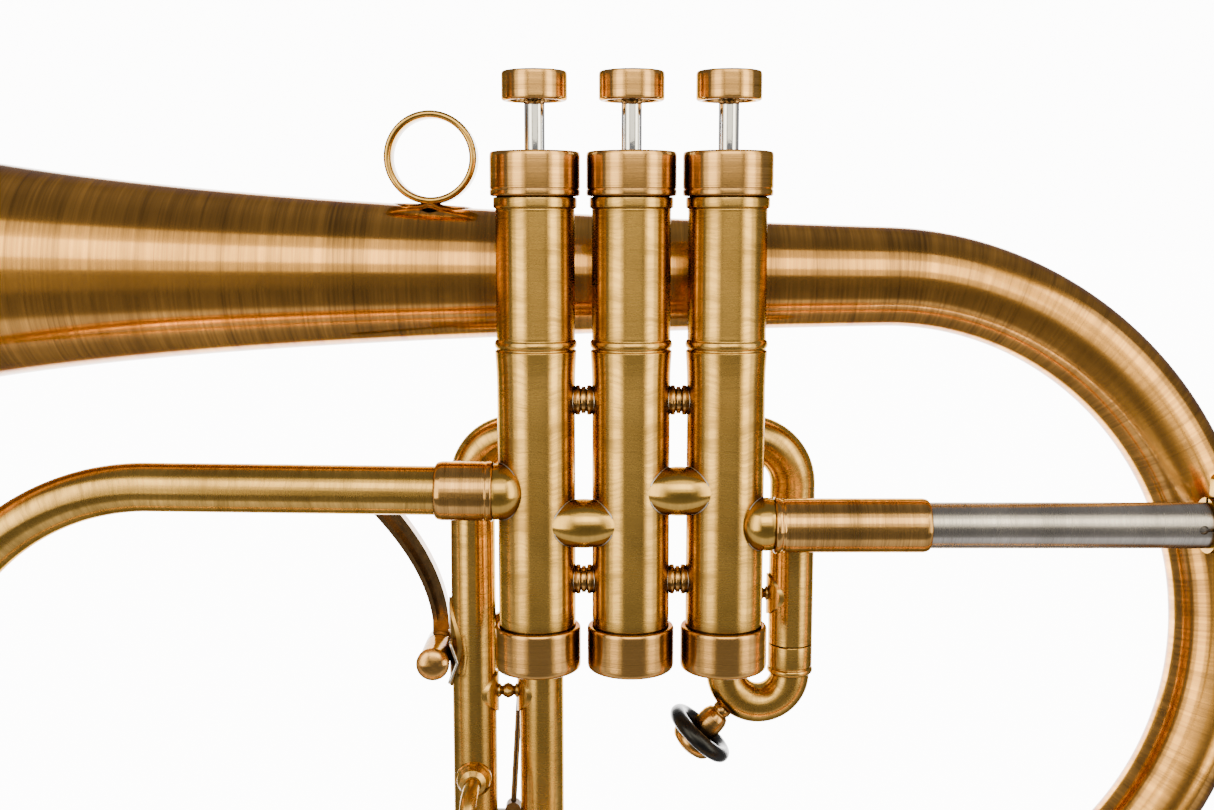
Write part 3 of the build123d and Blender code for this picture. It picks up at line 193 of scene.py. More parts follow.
def rounded_path(corners, radii, step=1.2 * MM):
    """Points along straight runs joined by tangent arcs."""
    corners = [Vector(c) for c in corners]
    path = [corners[0]]
    for i in range(1, len(corners) - 1):
        before = (corners[i - 1] - corners[i]).normalized()
        after = (corners[i + 1] - corners[i]).normalized()
        half = before.angle(after) / 2
        radius = radii[i - 1]
        reach = radius / math.tan(half)
        middle = corners[i] + (before + after).normalized() * radius / math.sin(half)
        start, end = corners[i] + before * reach, corners[i] + after * reach
        turn = math.pi - 2 * half
        steps = max(4, int(radius * turn / step))
        x_axis = (start - middle).normalized()
        y_axis = (end - middle - x_axis * (end - middle).dot(x_axis)).normalized()
        for k in range(steps + 1):
            angle = turn * k / steps
            path.append(middle + (x_axis * math.cos(angle) + y_axis * math.sin(angle)) * radius)
    path.append(corners[-1])
    dense = [path[0]]
    for a, b in zip(path, path[1:]):
        pieces = max(1, int((b - a).length / (6 * step)))
        dense += [a + (b - a) * k / pieces for k in range(1, pieces + 1)]
    return dense


def path_length(points):
    return sum((b - a).length for a, b in zip(points, points[1:]))


# ---------------------------------------------------------------- materials
TYPICAL_R = 0.010  # radius that turns a place round a tube into one across a CAD node


def along_axis(axis, along, across):
    """Three scales: one along the axis, which is X for a piece with its own lay, and one across it."""
    return tuple(along if letter == axis.replace("lay", "X") else across for letter in "XYZ")


class Graph:
    """Short way to write a node tree."""

    def __init__(self, name):
        self.material = bpy.data.materials.new(name)
        self.material.use_nodes = True
        self.tree = self.material.node_tree
        self.shader = self.tree.nodes["Principled BSDF"]

    def node(self, kind, inputs=None, **settings):
        node = self.tree.nodes.new(kind)
        for key, value in settings.items():
            setattr(node, key, value)
        for key, value in (inputs or {}).items():
            self.put(node.inputs[key], value)
        return node

    def put(self, socket, value):
        if isinstance(value, bpy.types.NodeSocket):
            self.tree.links.new(value, socket)
        else:
            socket.default_value = value

    def lay(self, axis, stretch, around):
        """Coordinates that run fast along a tube and slowly round it."""
        if axis == "lay":
            source = self.node("ShaderNodeAttribute", attribute_name="lay").outputs["Vector"]
            scale = (stretch, around, around)
        else:
            source = self.node("ShaderNodeTexCoord").outputs["Object"]
            scale = along_axis(axis, stretch, around / TYPICAL_R)
        return self.node("ShaderNodeVectorMath", {0: source, 1: scale}, operation="MULTIPLY").outputs[0]

    def noise(self, vector, scale=1.0, detail=3.0, rough=0.55, distortion=0.0):
        node = self.node(
            "ShaderNodeTexNoise",
            {
                "Vector": vector,
                "Scale": scale,
                "Detail": detail,
                "Roughness": rough,
                "Distortion": distortion,
            },
        )
        return node.outputs[0]

    def ramp(self, value, *stops):
        node = self.node("ShaderNodeValToRGB", {0: value})
        elements = node.color_ramp.elements
        while len(elements) < len(stops):
            elements.new(0.5)
        for element, (position, colour) in zip(elements, stops):
            element.position = position
            element.color = (*colour, 1.0)
        return node.outputs[0]

    def mix(self, factor, a, b, blend="MIX"):
        node = self.node("ShaderNodeMix", data_type="RGBA", blend_type=blend)
        self.put(node.inputs[0], factor)
        self.put(node.inputs[6], a)
        self.put(node.inputs[7], b)
        return node.outputs[2]

    def math(self, operation, a, b=0.0):
        node = self.node("ShaderNodeMath", operation=operation)
        self.put(node.inputs[0], a)
        self.put(node.inputs[1], b)
        return node.outputs[0]


def grey(value):
    return (value, value, value)


def brushed_metal(
    name,
    colour,
    dark,
    axis="lay",
    line=1800.0,
    around=0.9,
    contrast=0.5,
    rough=(0.24, 0.36),
    stretch=0.55,
    coat=0.3,
    coat_rough=0.12,
    bump=0.05,
    swirl=0.0,
    patina=0.5,
):
    """Brushed, lacquered metal: fine lines square to the tube's axis, broad tone bands and brown patina."""
    g = Graph(name)
    place = g.lay(axis, 1.0, around)
    if swirl:
        wave = g.noise(g.lay(axis, 55.0, around * 1.6), 1.0, 1.0, 0.4)
        shift = g.math("MULTIPLY", g.math("SUBTRACT", wave, 0.5), swirl)
        offset = g.node("ShaderNodeCombineXYZ", {0: shift, 1: 0.0, 2: 0.0}).outputs[0]
        place = g.node("ShaderNodeVectorMath", {0: place, 1: offset}, operation="ADD").outputs[0]

    def lines(frequency, detail, softness):
        scale = along_axis(axis, frequency, 1.0)
        stretched = g.node("ShaderNodeVectorMath", {0: place, 1: scale}, operation="MULTIPLY").outputs[0]
        return g.noise(stretched, 1.0, detail, softness)

    fine = lines(line, 4.0, 0.65)
    middle = lines(line * 0.22, 3.0, 0.6)
    broad = lines(line * 0.035, 2.0, 0.5)
    body = g.node("ShaderNodeTexCoord").outputs["Object"]
    spots = g.noise(body, 38.0, 5.0, 0.62, 0.3)
    tone = g.math("ADD", g.math("MULTIPLY", fine, 0.5), g.math("MULTIPLY", middle, 0.5))
    shade = g.ramp(tone, (0.5 - 0.16, grey(1.0 - contrast)), (0.5 + 0.13, grey(1.0)))
    bands = g.ramp(broad, (0.35, grey(0.0)), (0.68, grey(1.0)))
    base = g.mix(bands, (*colour, 1), (*[c * BAND_SHADE for c in colour], 1))
    base = g.mix(1.0, base, shade, "MULTIPLY")
    worn = g.ramp(spots, (0.46, grey(0.0)), (0.78, grey(patina)))
    base = g.mix(worn, base, (*dark, 1))
    # painted shade: the base colour is darkened towards dark brown in corners and gaps by ambient occlusion,
    # partly standing for patina in the hollows
    hollow = g.node("ShaderNodeAmbientOcclusion", {"Distance": CORNER_REACH}, samples=6).outputs["AO"]
    patina_and_corner_shade = g.ramp(hollow, (0.22, grey(0.95)), (0.90, grey(0.0)))
    base = g.mix(patina_and_corner_shade, base, (*PATINA_AND_CORNER_SHADE, 1))
    g.put(g.shader.inputs["Base Color"], base)
    g.shader.inputs["Metallic"].default_value = 1.0
    g.shader.inputs["Specular Tint"].default_value = (*EDGE_TINT, 1)
    span = g.node("ShaderNodeMapRange", {0: tone, 1: 0.35, 2: 0.65, 3: rough[1], 4: rough[0]}).outputs[0]
    span = g.math("ADD", span, g.math("MULTIPLY", worn, 0.10))
    g.put(g.shader.inputs["Roughness"], span)
    g.shader.inputs["Anisotropic"].default_value = stretch
    if axis == "lay":
        tangent = g.node("ShaderNodeTangent", direction_type="UV_MAP", uv_map="lay_uv").outputs[0]
        g.put(g.shader.inputs["Tangent"], tangent)
    g.shader.inputs["Coat Weight"].default_value = coat
    g.shader.inputs["Coat Roughness"].default_value = coat_rough
    g.shader.inputs["Coat IOR"].default_value = 1.5
    relief = g.node("ShaderNodeBump", {"Strength": bump, "Distance": 0.0004, "Height": tone}).outputs[0]
    g.put(g.shader.inputs["Normal"], relief)
    return g.material


ROSE = (0.82, 0.385, 0.07)
GOLD = (0.82, 0.475, 0.11)
COPPER = (0.82, 0.44, 0.13)
BROWN = (0.15, 0.055, 0.010)
UMBER = (0.22, 0.10, 0.015)
# colour of the painted corner shade, partly patina in the hollows
PATINA_AND_CORNER_SHADE = (0.09, 0.058, 0.03)
NICKEL, NICKEL_DARK = (0.60, 0.55, 0.51), (0.30, 0.26, 0.24)
EDGE_TINT = (0.30, 0.25, 0.20)  # metal seen at a grazing angle
BAND_SHADE = 0.74  # how much darker the broad bands are
CORNER_REACH = 5.5 * MM  # how far the painted corner shade and patina spread out of a corner

M_BELL = brushed_metal(
    "bell_brass", ROSE, BROWN, line=1300, around=0.35, contrast=0.62, rough=(0.15, 0.26), stretch=0.75,
    coat=0.45, coat_rough=0.04, bump=0.04, patina=0.35,
)
M_CASING = brushed_metal(
    "casing_brass", GOLD, UMBER, line=1500, around=0.85, contrast=0.50, rough=(0.20, 0.31), stretch=0.75,
    coat=0.08, coat_rough=0.2, bump=0.07, swirl=0.0035, patina=0.5,
)
M_TUBE = brushed_metal(
    "tube_brass", GOLD, UMBER, line=1500, around=0.7, contrast=0.48, rough=(0.19, 0.30), stretch=0.75,
    coat=0.15, coat_rough=0.12, bump=0.05, swirl=0.0015, patina=0.45,
)
M_CAP = brushed_metal(
    "cap_brass", COPPER, BROWN, line=2300, around=0.25, contrast=0.60, rough=(0.18, 0.29), stretch=0.75,
    coat=0.1, coat_rough=0.10, bump=0.08, patina=0.25,
)
M_POLISHED = brushed_metal(
    "polished_brass", (0.72, 0.42, 0.09), UMBER, line=900, around=0.7, contrast=0.25, rough=(0.17, 0.25),
    stretch=0.1, coat=0.1, coat_rough=0.08, bump=0.02, patina=0.35,
)
M_SOLDER = brushed_metal(
    "solder_line", (0.56, 0.50, 0.46), (0.20, 0.16, 0.14), axis="Z", line=900, around=2.0, contrast=0.3,
    rough=(0.3, 0.42), stretch=0.0, coat=0.0, bump=0.03, patina=0.6,
)


def plain(name, colour, metallic, roughness, coat=0.0, scale=900.0, amount=0.15, bump=0.03, specular=0.5):
    """A simple procedural finish with a faint grain."""
    g = Graph(name)
    if metallic:
        g.shader.inputs["Specular Tint"].default_value = (*grey(0.35), 1)
    body = g.node("ShaderNodeTexCoord").outputs["Object"]
    grain = g.noise(body, scale, 4.0, 0.6)
    tone = g.ramp(grain, (0.3, grey(1.0 - amount)), (0.7, grey(1.0)))
    g.put(g.shader.inputs["Base Color"], g.mix(1.0, (*colour, 1), tone, "MULTIPLY"))
    g.shader.inputs["Metallic"].default_value = metallic
    g.shader.inputs["Specular IOR Level"].default_value = specular
    spread = {0: grain, 1: 0.3, 2: 0.7, 3: roughness * 0.85, 4: roughness * 1.15}
    g.put(g.shader.inputs["Roughness"], g.node("ShaderNodeMapRange", spread).outputs[0])
    g.shader.inputs["Coat Weight"].default_value = coat
    g.shader.inputs["Coat Roughness"].default_value = 0.1
    relief = g.node("ShaderNodeBump", {"Strength": bump, "Distance": 0.0003, "Height": grain}).outputs[0]
    g.put(g.shader.inputs["Normal"], relief)
    return g.material


M_CHROME = plain("stem_chrome", (0.86, 0.85, 0.84), 1.0, 0.06, amount=0.05)
M_STEEL = plain("dark_steel", (0.16, 0.13, 0.11), 1.0, 0.32)
M_WIRE = plain("spring_wire", (0.62, 0.60, 0.58), 1.0, 0.22)
M_RUBBER = plain("ring_rubber", (0.004, 0.004, 0.005), 0.0, 0.3, amount=0.3, specular=0.25)
M_LEVER = plain("lever_brass", (0.42, 0.22, 0.07), 1.0, 0.2, coat=0.5, scale=500.0, amount=0.35)
M_RING = plain("ring_brass", (0.62, 0.35, 0.07), 1.0, 0.17, coat=0.2, scale=700.0, amount=0.3)
M_FELT = plain("cap_felt", (0.16, 0.02, 0.02), 0.0, 0.95, scale=2500.0, amount=0.5, bump=0.5)
M_NYLON = plain("guide_nylon", (0.75, 0.74, 0.68), 0.0, 0.45)
M_CORK = plain("cork", (0.42, 0.25, 0.12), 0.0, 0.85, scale=1500.0, amount=0.5, bump=0.4)
M_ALLOY = plain("piston_alloy", (0.55, 0.52, 0.49), 1.0, 0.28)


def node_brass(name, axis):
    """Brushed brass for a CAD node whose pieces run along one axis."""
    return brushed_metal(
        name, GOLD, UMBER, axis=axis, line=1500, around=0.8, contrast=0.4, rough=(0.22, 0.33), stretch=0.0,
        coat=0.22, coat_rough=0.15, bump=0.06, patina=0.4,
    )


def finish_node(node, material):
    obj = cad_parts[node]
    if not obj.data.materials:
        obj.data.materials.append(material)
    for slot in obj.material_slots:
        slot.material = material


# ---------------------------------------------------------------- bell and main tube
BELL_R, BELL_SCALE, BELL_POWER, BELL_WALL = 78 * MM, 38.3 * MM, 0.778, 0.7 * MM
BELL_RIM = Vector((MIDDLE_X - 270 * MM, VALVE_Y + 30 * MM, centre("bell").z))
BELL_RISE = 0.007
BOW_X = MIDDLE_X + 66.6 * MM
BELL_AXIS_Z = 60 * MM
BOW_END_R, BOW_TAPER = 10 * MM, 1.7
FRONT_BOW_R, FRONT_BOW_END_R, OUTLET_R = 59 * MM, 7 * MM, 6.05 * MM
OUTLET_RISE, OUTLET_Z = 0.0123, 8.5 * MM
FRONT_BOW_X = MIDDLE_X - 119 * MM
LOWER_JOINT_X = MIDDLE_X + 40 * MM
LEADPIPE_X, OUTLET_X = MIDDLE_X + 35.1 * MM, MIDDLE_X - 33.9 * MM  # where the end knuckles stop
LOWER_Y = 3 * MM


def bell_radius(distance):
    """The bell's flare, which the big bow carries on, at a distance from the rim."""
    return BELL_R * (BELL_SCALE / (distance + BELL_SCALE)) ** BELL_POWER


def bell_axis_z(x):
    """The bell's axis rises a little towards its rim."""
    return BELL_AXIS_Z + BELL_RISE * (BOW_X - x)


def make_bell():
    start = Vector((BELL_RIM.x, BELL_RIM.y, bell_axis_z(BELL_RIM.x)))
    length = MIDDLE_X - BELL_RIM.x
    stations = [length * (k / 60) ** 1.6 for k in range(61)]
    outer = [(bell_radius(d), d) for d in stations if d > 1.6 * MM][::-1]
    inner = []
    for d in stations:
        if d > 1.8 * MM:
            slope = -BELL_POWER * bell_radius(d) / (d + BELL_SCALE)
            shift = BELL_WALL / math.hypot(1, slope)
            inner.append((bell_radius(d) - shift, d + slope * shift))
    bead_r, bead_at = 1.5 * MM, 0.2 * MM
    bead = []
    for k in range(13):
        angle = math.radians(60 - 250 * k / 12)
        bead.append((BELL_R - bead_r + bead_r * math.cos(angle), bead_at + bead_r * math.sin(angle)))
    profile = outer + bead + inner
    piece = lathe("bell_shell", start, (1, 0, -BELL_RISE), profile, M_BELL, "horn", segments=160, sharp=60)
    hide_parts("bell")


def outlet_point(x):
    """On the axis of the tube from the third valve to the front bow."""
    return Vector((x, 0, OUTLET_Z + OUTLET_RISE * (VALVES[2].x - 5 * MM - x)))


def lower_point(x):
    """On the axis of the tube along the bottom, which moves sideways to meet the big bow."""
    front_z = outlet_point(FRONT_BOW_X).z - 2 * FRONT_BOW_R
    share = (x - FRONT_BOW_X) / (BOW_X - FRONT_BOW_X)
    return Vector((x, LOWER_Y * share, front_z - OUTLET_RISE * (x - FRONT_BOW_X)))


def make_big_bow():
    start = Vector((MIDDLE_X - 1 * MM, BELL_RIM.y, bell_axis_z(MIDDLE_X)))
    top = Vector((BOW_X, BELL_RIM.y, BELL_AXIS_Z))
    bottom, end = lower_point(BOW_X), lower_point(LOWER_JOINT_X)
    reach = (top - bottom).length / 2
    corners = [
        start,
        top + (top - start).normalized() * reach,
        bottom + (bottom - end).normalized() * reach,
        end,
    ]
    path = rounded_path(corners, [reach - 0.4 * MM] * 2, step=2 * MM)
    straight = BOW_X - MIDDLE_X
    curve = path_length(path) - straight - (BOW_X - LOWER_JOINT_X)
    radii, travelled = [], 0.0
    for i, point in enumerate(path):
        if i:
            travelled += (point - path[i - 1]).length
        if travelled < straight:
            radii.append(bell_radius(MIDDLE_X - BELL_RIM.x + travelled))
        else:
            t = min(1.0, (travelled - straight) / curve)
            first = bell_radius(BOW_X - BELL_RIM.x)
            radii.append(BOW_END_R + (first - BOW_END_R) * (1 - t) ** BOW_TAPER)
    piece = sweep("bow_tube", path, radii, M_BELL, "horn", segments=96)
    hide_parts("big_bow")


def make_front_bow():
    start, end = outlet_point(MIDDLE_X - 42 * MM), lower_point(FRONT_BOW_X + 6 * MM)
    out = (outlet_point(FRONT_BOW_X) - start).normalized()
    back = (lower_point(FRONT_BOW_X) - lower_point(BOW_X)).normalized()
    corners = [
        start,
        outlet_point(FRONT_BOW_X) + out * FRONT_BOW_R,
        lower_point(FRONT_BOW_X) + back * FRONT_BOW_R,
        end,
    ]
    path = rounded_path(corners, [FRONT_BOW_R - 0.6 * MM] * 2, step=1.6 * MM)
    straight = (outlet_point(FRONT_BOW_X) - start).length
    length = path_length(path)
    radii, travelled = [], 0.0
    for i, point in enumerate(path):
        if i:
            travelled += (point - path[i - 1]).length
        share = max(0.0, (travelled - straight) / (length - straight))
        radii.append(OUTLET_R + (FRONT_BOW_END_R - OUTLET_R) * share)
    piece = sweep("front_bow_tube", path, radii, M_TUBE, "horn", segments=72)
    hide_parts("front_bow")
    begin, finish = lower_point(FRONT_BOW_X + 6 * MM), lower_point(LOWER_JOINT_X)
    length = (finish - begin).length
    profile = [(FRONT_BOW_END_R + (BOW_END_R - FRONT_BOW_END_R) * k / 40, length * k / 40) for k in range(41)]
    piece = lathe("lower_cone", begin, finish - begin, profile, M_TUBE, "horn")
    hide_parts("lower_tube")


def make_ferrules():
    start, end = outlet_point(OUTLET_X), outlet_point(MIDDLE_X - 48.2 * MM)
    length = (end - start).length
    profile = [
        (5.9, 0), (6.95, 0), (7.42, 0.35), (7.42, 1.5), (7.2, 1.8), (7.2, 2.1), (7.3, 2.4),
        (7.3, length / MM - 1.6), (7.05, length / MM - 0.5), (6.6, length / MM), (5.9, length / MM),
    ]
    profile = soften([(r * MM, s * MM) for r, s in profile], 0.3 * MM)
    piece = lathe("outlet_band", start, end - start, profile, M_CAP, "horn")
    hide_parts("outlet_ferrule")
    for label, x, inner, outer in (
        ("front", FRONT_BOW_X + 6 * MM, FRONT_BOW_END_R, 8.1 * MM),
        ("rear", LOWER_JOINT_X, BOW_END_R, 11.2 * MM),
    ):
        start, end = lower_point(x - 7 * MM), lower_point(x + 7 * MM)
        length = (end - start).length
        profile = soften(
            [
                (inner, 0), (outer - 0.5 * MM, 0), (outer, 0.7 * MM), (outer, 2.2 * MM),
                (outer - 0.35 * MM, 2.6 * MM), (outer - 0.35 * MM, length - 2.6 * MM),
                (outer, length - 2.2 * MM), (outer, length - 0.7 * MM), (outer - 0.5 * MM, length),
                (inner, length),
            ],
            0.25 * MM,
        )
        lathe(f"{label}_bow_band", start, end - start, profile, M_CAP, "horn")
    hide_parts("bow_ferrules")


# ---------------------------------------------------------------- valves
def turned(name, node, valve, profile, material, body="horn", round_by=0.35, segments=SEGMENTS):
    """A piece turned about a valve's axis that stands for a CAD node."""
    profile = soften([(r * MM, z * MM) for r, z in profile], round_by * MM)
    piece = lathe(name, VALVES[valve], (0, 0, 1), profile, material, body, segments=segments)
    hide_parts(node)


def make_valve(i):
    n = i + 1
    body = f"valve_{n}"
    casing = [
        (8.45, -36), (9.35, -36), (9.35, -26.4), (9.62, -26.3), (9.66, -24), (9.65, 0), (9.65, 20),
        (9.65, 34),
        (9.72, 37.5), (9.88, 40.4), (10.02, 42.4), (10.05, 42.9), (9.75, 43.05), (9.62, 43.35), (9.75, 43.65),
        (10.0, 43.9), (10.16, 44.6), (10.0, 45.3), (9.75, 45.55), (9.62, 45.8), (9.68, 46.1), (9.65, 47),
        (9.65, 60), (9.65, 76.9), (9.72, 77.2), (9.62, 77.45), (9.72, 77.6), (10.15, 77.8), (10.22, 78.3),
        (10.22, 79.9), (10.1, 80.3), (9.35, 80.4), (9.35, 84), (8.45, 84),
    ]
    turned(
        f"casing_{n}", f"valve_casing_{n}", i, casing, M_CASING, round_by=0.18, segments=128
    )
    top = [
        (9.2, 80.5), (10.4, 80.5), (10.95, 80.75), (11.0, 81.3), (11.0, 82.0), (10.86, 82.15), (10.86, 82.35),
        (11.0, 82.5), (11.0, 90.4), (10.8, 91.1), (10.3, 91.3), (9.2, 91.3), (8.75, 91.0), (8.7, 90.2),
        (8.7, 86.1), (2.62, 86.1), (2.6, 84.1), (9.2, 84.1), (9.2, 80.5),
    ]
    turned(f"cap_top_{n}", f"top_cap_{n}", i, top, M_CAP)
    bottom = [
        (1.6, -38), (3.4, -38), (9.2, -38), (10.1, -37.85), (10.75, -37.3), (10.9, -36.4), (10.9, -28.0),
        (10.9, -27.2), (10.65, -26.7), (10.2, -26.6), (9.4, -26.6), (9.3, -27.4), (9.3, -36.4), (1.6, -36.4),
        (1.6, -38),
    ]
    turned(f"cap_bottom_{n}", f"bottom_cap_{n}", i, bottom, M_CAP)
    button = [
        (2.4, 108.0), (6.1, 108.0), (6.25, 107.6), (6.3, 103.6), (6.6, 103.3), (7.5, 103.3), (7.9, 103.65),
        (7.95, 104.2), (7.95, 109.6), (7.8, 110.2), (7.35, 110.4), (6.5, 110.35), (6.2, 110.1), (5.2, 109.9),
        (0, 109.75),
    ]
    turned(f"button_{n}", f"finger_button_{n}", i, button, M_CAP, body=body, round_by=0.3)
    stem = [(0, 82), (2.5, 82), (2.5, 107.95), (0, 108)]
    turned(f"stem_{n}", f"piston_stem_{n}", i, stem, M_CHROME, body=body, segments=48)
    finish_node(f"piston_{n}", M_ALLOY)
    finish_node(f"valve_spring_{n}", M_WIRE)


# ---------------------------------------------------------------- knuckles and stays
UPPER_KNUCKLE_Z, LOWER_KNUCKLE_Z = OUTLET_Z, 0.4 * MM
INLET_Z = 0.3 * MM
STAY_Z = (30.6 * MM, -14.8 * MM)


def casing_surface(valve, x_side, y_offset):
    """x of a casing's outer face at a distance from its axis in Y, on the side asked for."""
    return VALVES[valve].x + x_side * math.sqrt(max(CASING_R**2 - y_offset**2, 0.0))


def solder_ring(name, points, radius=0.22 * MM):
    """A thin bright line of solder along a closed row of points."""
    count = len(points)
    rings = []
    along, travelled = [], 0.0
    for i, p in enumerate(points):
        tangent = (points[(i + 1) % count] - points[i - 1]).normalized()
        _, u, v = axes_of(tangent, hint=Vector((0, -1, 0)) if abs(tangent.y) < 0.9 else Vector((0, 0, 1)))
        turns = [math.tau * k / 8 for k in range(8)]
        rings.append([p + (u * math.cos(a) + v * math.sin(a)) * radius for a in turns])
        along.append(travelled)
        travelled += (points[(i + 1) % count] - p).length
    piece = build_mesh(name, rings, along, M_SOLDER, "horn", closed=True)


def crossing(valve, x_side, axis_y, axis_z, radius_at, centre_x, count=72):
    """Where a surface turned about an X line meets a casing, as a closed row of points."""
    points = []
    for k in range(count):
        angle = math.tau * k / count
        x = casing_surface(valve, x_side, axis_y - VALVES[valve].y)
        for _ in range(12):
            radius = radius_at(x - centre_x)
            y, z = axis_y + radius * math.cos(angle), axis_z + radius * math.sin(angle)
            x = casing_surface(valve, x_side, max(-9.5 * MM, min(9.5 * MM, y - VALVES[valve].y)))
        points.append(Vector((x, y, z)))
    return points


def make_knuckles():
    reach, arc = 8.6 * MM, 15.4 * MM

    def ball(offset):
        return 6.1 * MM - offset**2 / (2 * arc)

    for name, left, right, z in (
        ("knuckle_1_2", 1, 0, UPPER_KNUCKLE_Z),
        ("knuckle_2_3", 2, 1, LOWER_KNUCKLE_Z),
    ):
        middle = (VALVES[left].x + VALVES[right].x) / 2
        profile = [(ball(reach * k / 16), reach * k / 16) for k in range(-16, 17)]
        piece = lathe(f"{name}_ball", (middle, 0.5 * MM, z), (1, 0, 0), profile, M_POLISHED, "horn")
        keep_out_of_bores(piece)
        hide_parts(name)
        for label, valve, side in (("left", left, 1), ("right", right, -1)):
            solder_ring(f"{name}_{label}_solder", crossing(valve, side, 0.5 * MM, z, ball, middle))


def make_end_balls():
    def sphere(radius):
        return lambda offset: math.sqrt(max(radius**2 - offset**2, 1e-8))

    for name, valve, side, x, z, radius, cut in (
        ("inlet_knuckle", 0, 1, MIDDLE_X + 33.0 * MM, INLET_Z, 6.6 * MM, LEADPIPE_X),
        ("outlet_knuckle", 2, -1, MIDDLE_X - 32.6 * MM, OUTLET_Z, 7.0 * MM, OUTLET_X),
    ):
        cut_at = abs(cut - x)
        profile = []
        for k in range(33):
            offset = -radius + (cut_at + radius) * k / 32
            profile.append((sphere(radius)(offset), offset))
        profile[0] = (1e-6, -radius)
        piece = lathe(f"{name}_ball", (x, 0, z), (side, 0, 0), profile, M_POLISHED, "horn")
        keep_out_of_bores(piece)
        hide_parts(name)
        points = crossing(valve, side, 0.0, z, sphere(radius), x)
        solder_ring(f"{name}_solder", points)


def make_valve_stays():
    half = [
        (0.0, 3.35), (0.25, 3.4), (0.48, 3.3), (0.55, 3.05), (0.62, 2.85), (0.72, 2.85), (0.78, 3.1),
        (0.85, 3.5), (1.05, 3.7), (1.4, 3.75), (1.75, 3.7), (2.0, 3.5), (3.1, 3.3),
    ]
    turned_stay = [(r * MM, -s * MM) for s, r in half[::-1]] + [(r * MM, s * MM) for s, r in half[1:]]
    for a, (left, right) in enumerate(((1, 0), (2, 1))):
        middle = (VALVES[left].x + VALVES[right].x) / 2
        for b, z in enumerate(STAY_Z):
            start = (middle, VALVE_Y, z)
            lathe(f"stay_{a}{b}", start, (1, 0, 0), turned_stay, M_CAP, "horn", sharp=50)
            for label, valve, side in (("l", left, 1), ("r", right, -1)):
                ring = crossing(valve, side, VALVE_Y, z, lambda offset: 3.32 * MM, middle, 40)
                solder_ring(f"stay_{a}{b}_{label}_solder", ring, 0.16 * MM)
    profile = [
        (2.9, 0), (2.9, 1.5), (3.5, 2.0), (3.5, 3.4), (2.3, 4.0), (2.3, 4.6), (3.5, 5.2), (3.5, 6.4),
        (2.9, 7), (2.9, 9),
    ]
    profile = soften([(r * MM, s * MM) for r, s in profile], 0.25 * MM)
    for c, i in enumerate((0, 2)):
        start = (VALVES[i].x, VALVE_Y + 9.0 * MM, BELL_AXIS_Z)
        piece = lathe(f"bell_stay_{c}", start, (0, 1, 0), profile, M_CAP, "horn")
    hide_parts("valve_stays")


# ---------------------------------------------------------------- leadpipe
def make_leadpipe():
    length = 38.3
    profile = [
        (5.6, 0.05), (6.4, 0.05), (6.95, 0.3), (7.0, 1.0), (6.75, 1.7), (6.5, 1.95), (6.5, 2.3), (6.7, 2.6),
        (6.7, length - 1.4), (6.5, length - 0.5), (6.15, length), (5.7, length),
    ]
    profile = soften([(r * MM, s * MM) for r, s in profile], 0.3 * MM)
    piece = lathe("leadpipe_cover", (LEADPIPE_X, 0, 0), (1, 0, 0), profile, M_CAP, "horn")
    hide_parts("leadpipe_sleeve")
    length = 34.0
    profile = [
        (5.1, 0), (5.9, 0), (6.2, 0.5), (6.2, 3.0), (5.9, 3.6), (6.05, 6), (6.2, 15), (6.5, length - 5.4),
        (7.0, length - 4.6), (7.0, length - 0.9), (6.4, length), (5.4, length), (4.9, length - 0.5),
        (4.9, length - 24.0),
    ]
    profile = soften([(r * MM, s * MM) for r, s in profile], 0.4 * MM)
    piece = lathe("receiver", (-length * MM, 0, 0), (1, 0, 0), profile, M_CAP, "tuning_slide")
    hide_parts("mouthpiece_receiver")
    nickel = brushed_metal(
        "nickel_tube", NICKEL, NICKEL_DARK, axis="X", line=2400, around=0.4, contrast=0.28, rough=(0.2, 0.3),
        stretch=0.0, coat=0.0, bump=0.06, patina=0.12,
    )
    finish_node("tuning_sleeve", nickel)
    finish_node("tuning_pipe", nickel)
    finish_node("tuning_clamp", node_brass("clamp_brass", "X"))
    finish_node("clamp_screw", node_brass("screw_brass", "Y"))


# ---------------------------------------------------------------- slides
R_TUBE, R_LEG = 6.0 * MM, 5.35 * MM
FIRST_X = (MIDDLE_X + 26.7 * MM, MIDDLE_X + 44.1 * MM)
THIRD_X = (MIDDLE_X - 42.3 * MM, MIDDLE_X - 23.9 * MM)
UPPER_Z, LOWER_Z = 17.1 * MM, -1.0 * MM
FIRST_END_Z, THIRD_END_Z = -39.4 * MM, -89.0 * MM  # where the outer tubes stop
FIRST_BOW_Z, THIRD_BOW_Z = -48.0 * MM, -100.0 * MM  # middle of each crook's bow
KNOB_SINK = 0.9 * MM
TUBE_START = 6 * MM  # how far from the valve's axis a tube begins, inside the casing


def make_slide_tubes(name, valve, legs, far, end_z):
    near_x, far_x = legs[1 - far], legs[far]
    axis_x = VALVES[valve].x
    span = abs(far_x - axis_x)
    elbow = min(12.7 * MM, span * 0.62)
    upper = [
        (axis_x, VALVE_Y + TUBE_START, UPPER_Z), (axis_x, SLIDE_Y, UPPER_Z), (far_x, SLIDE_Y, UPPER_Z),
        (far_x, SLIDE_Y, end_z),
    ]
    lower = [(axis_x, VALVE_Y + TUBE_START, LOWER_Z), (near_x, SLIDE_Y, LOWER_Z), (near_x, SLIDE_Y, end_z)]
    pieces = []
    for label, corners, radii in (
        ("upper", upper, [span - elbow - 0.3 * MM, elbow]),
        ("lower", lower, [9 * MM]),
    ):
        path = rounded_path(corners, radii, step=0.8 * MM)
        pieces.append(sweep(f"{name}_{label}", path, R_TUBE, M_TUBE, "horn"))
        keep_out_of_bores(pieces[-1])
    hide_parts(f"{name}_tubes")


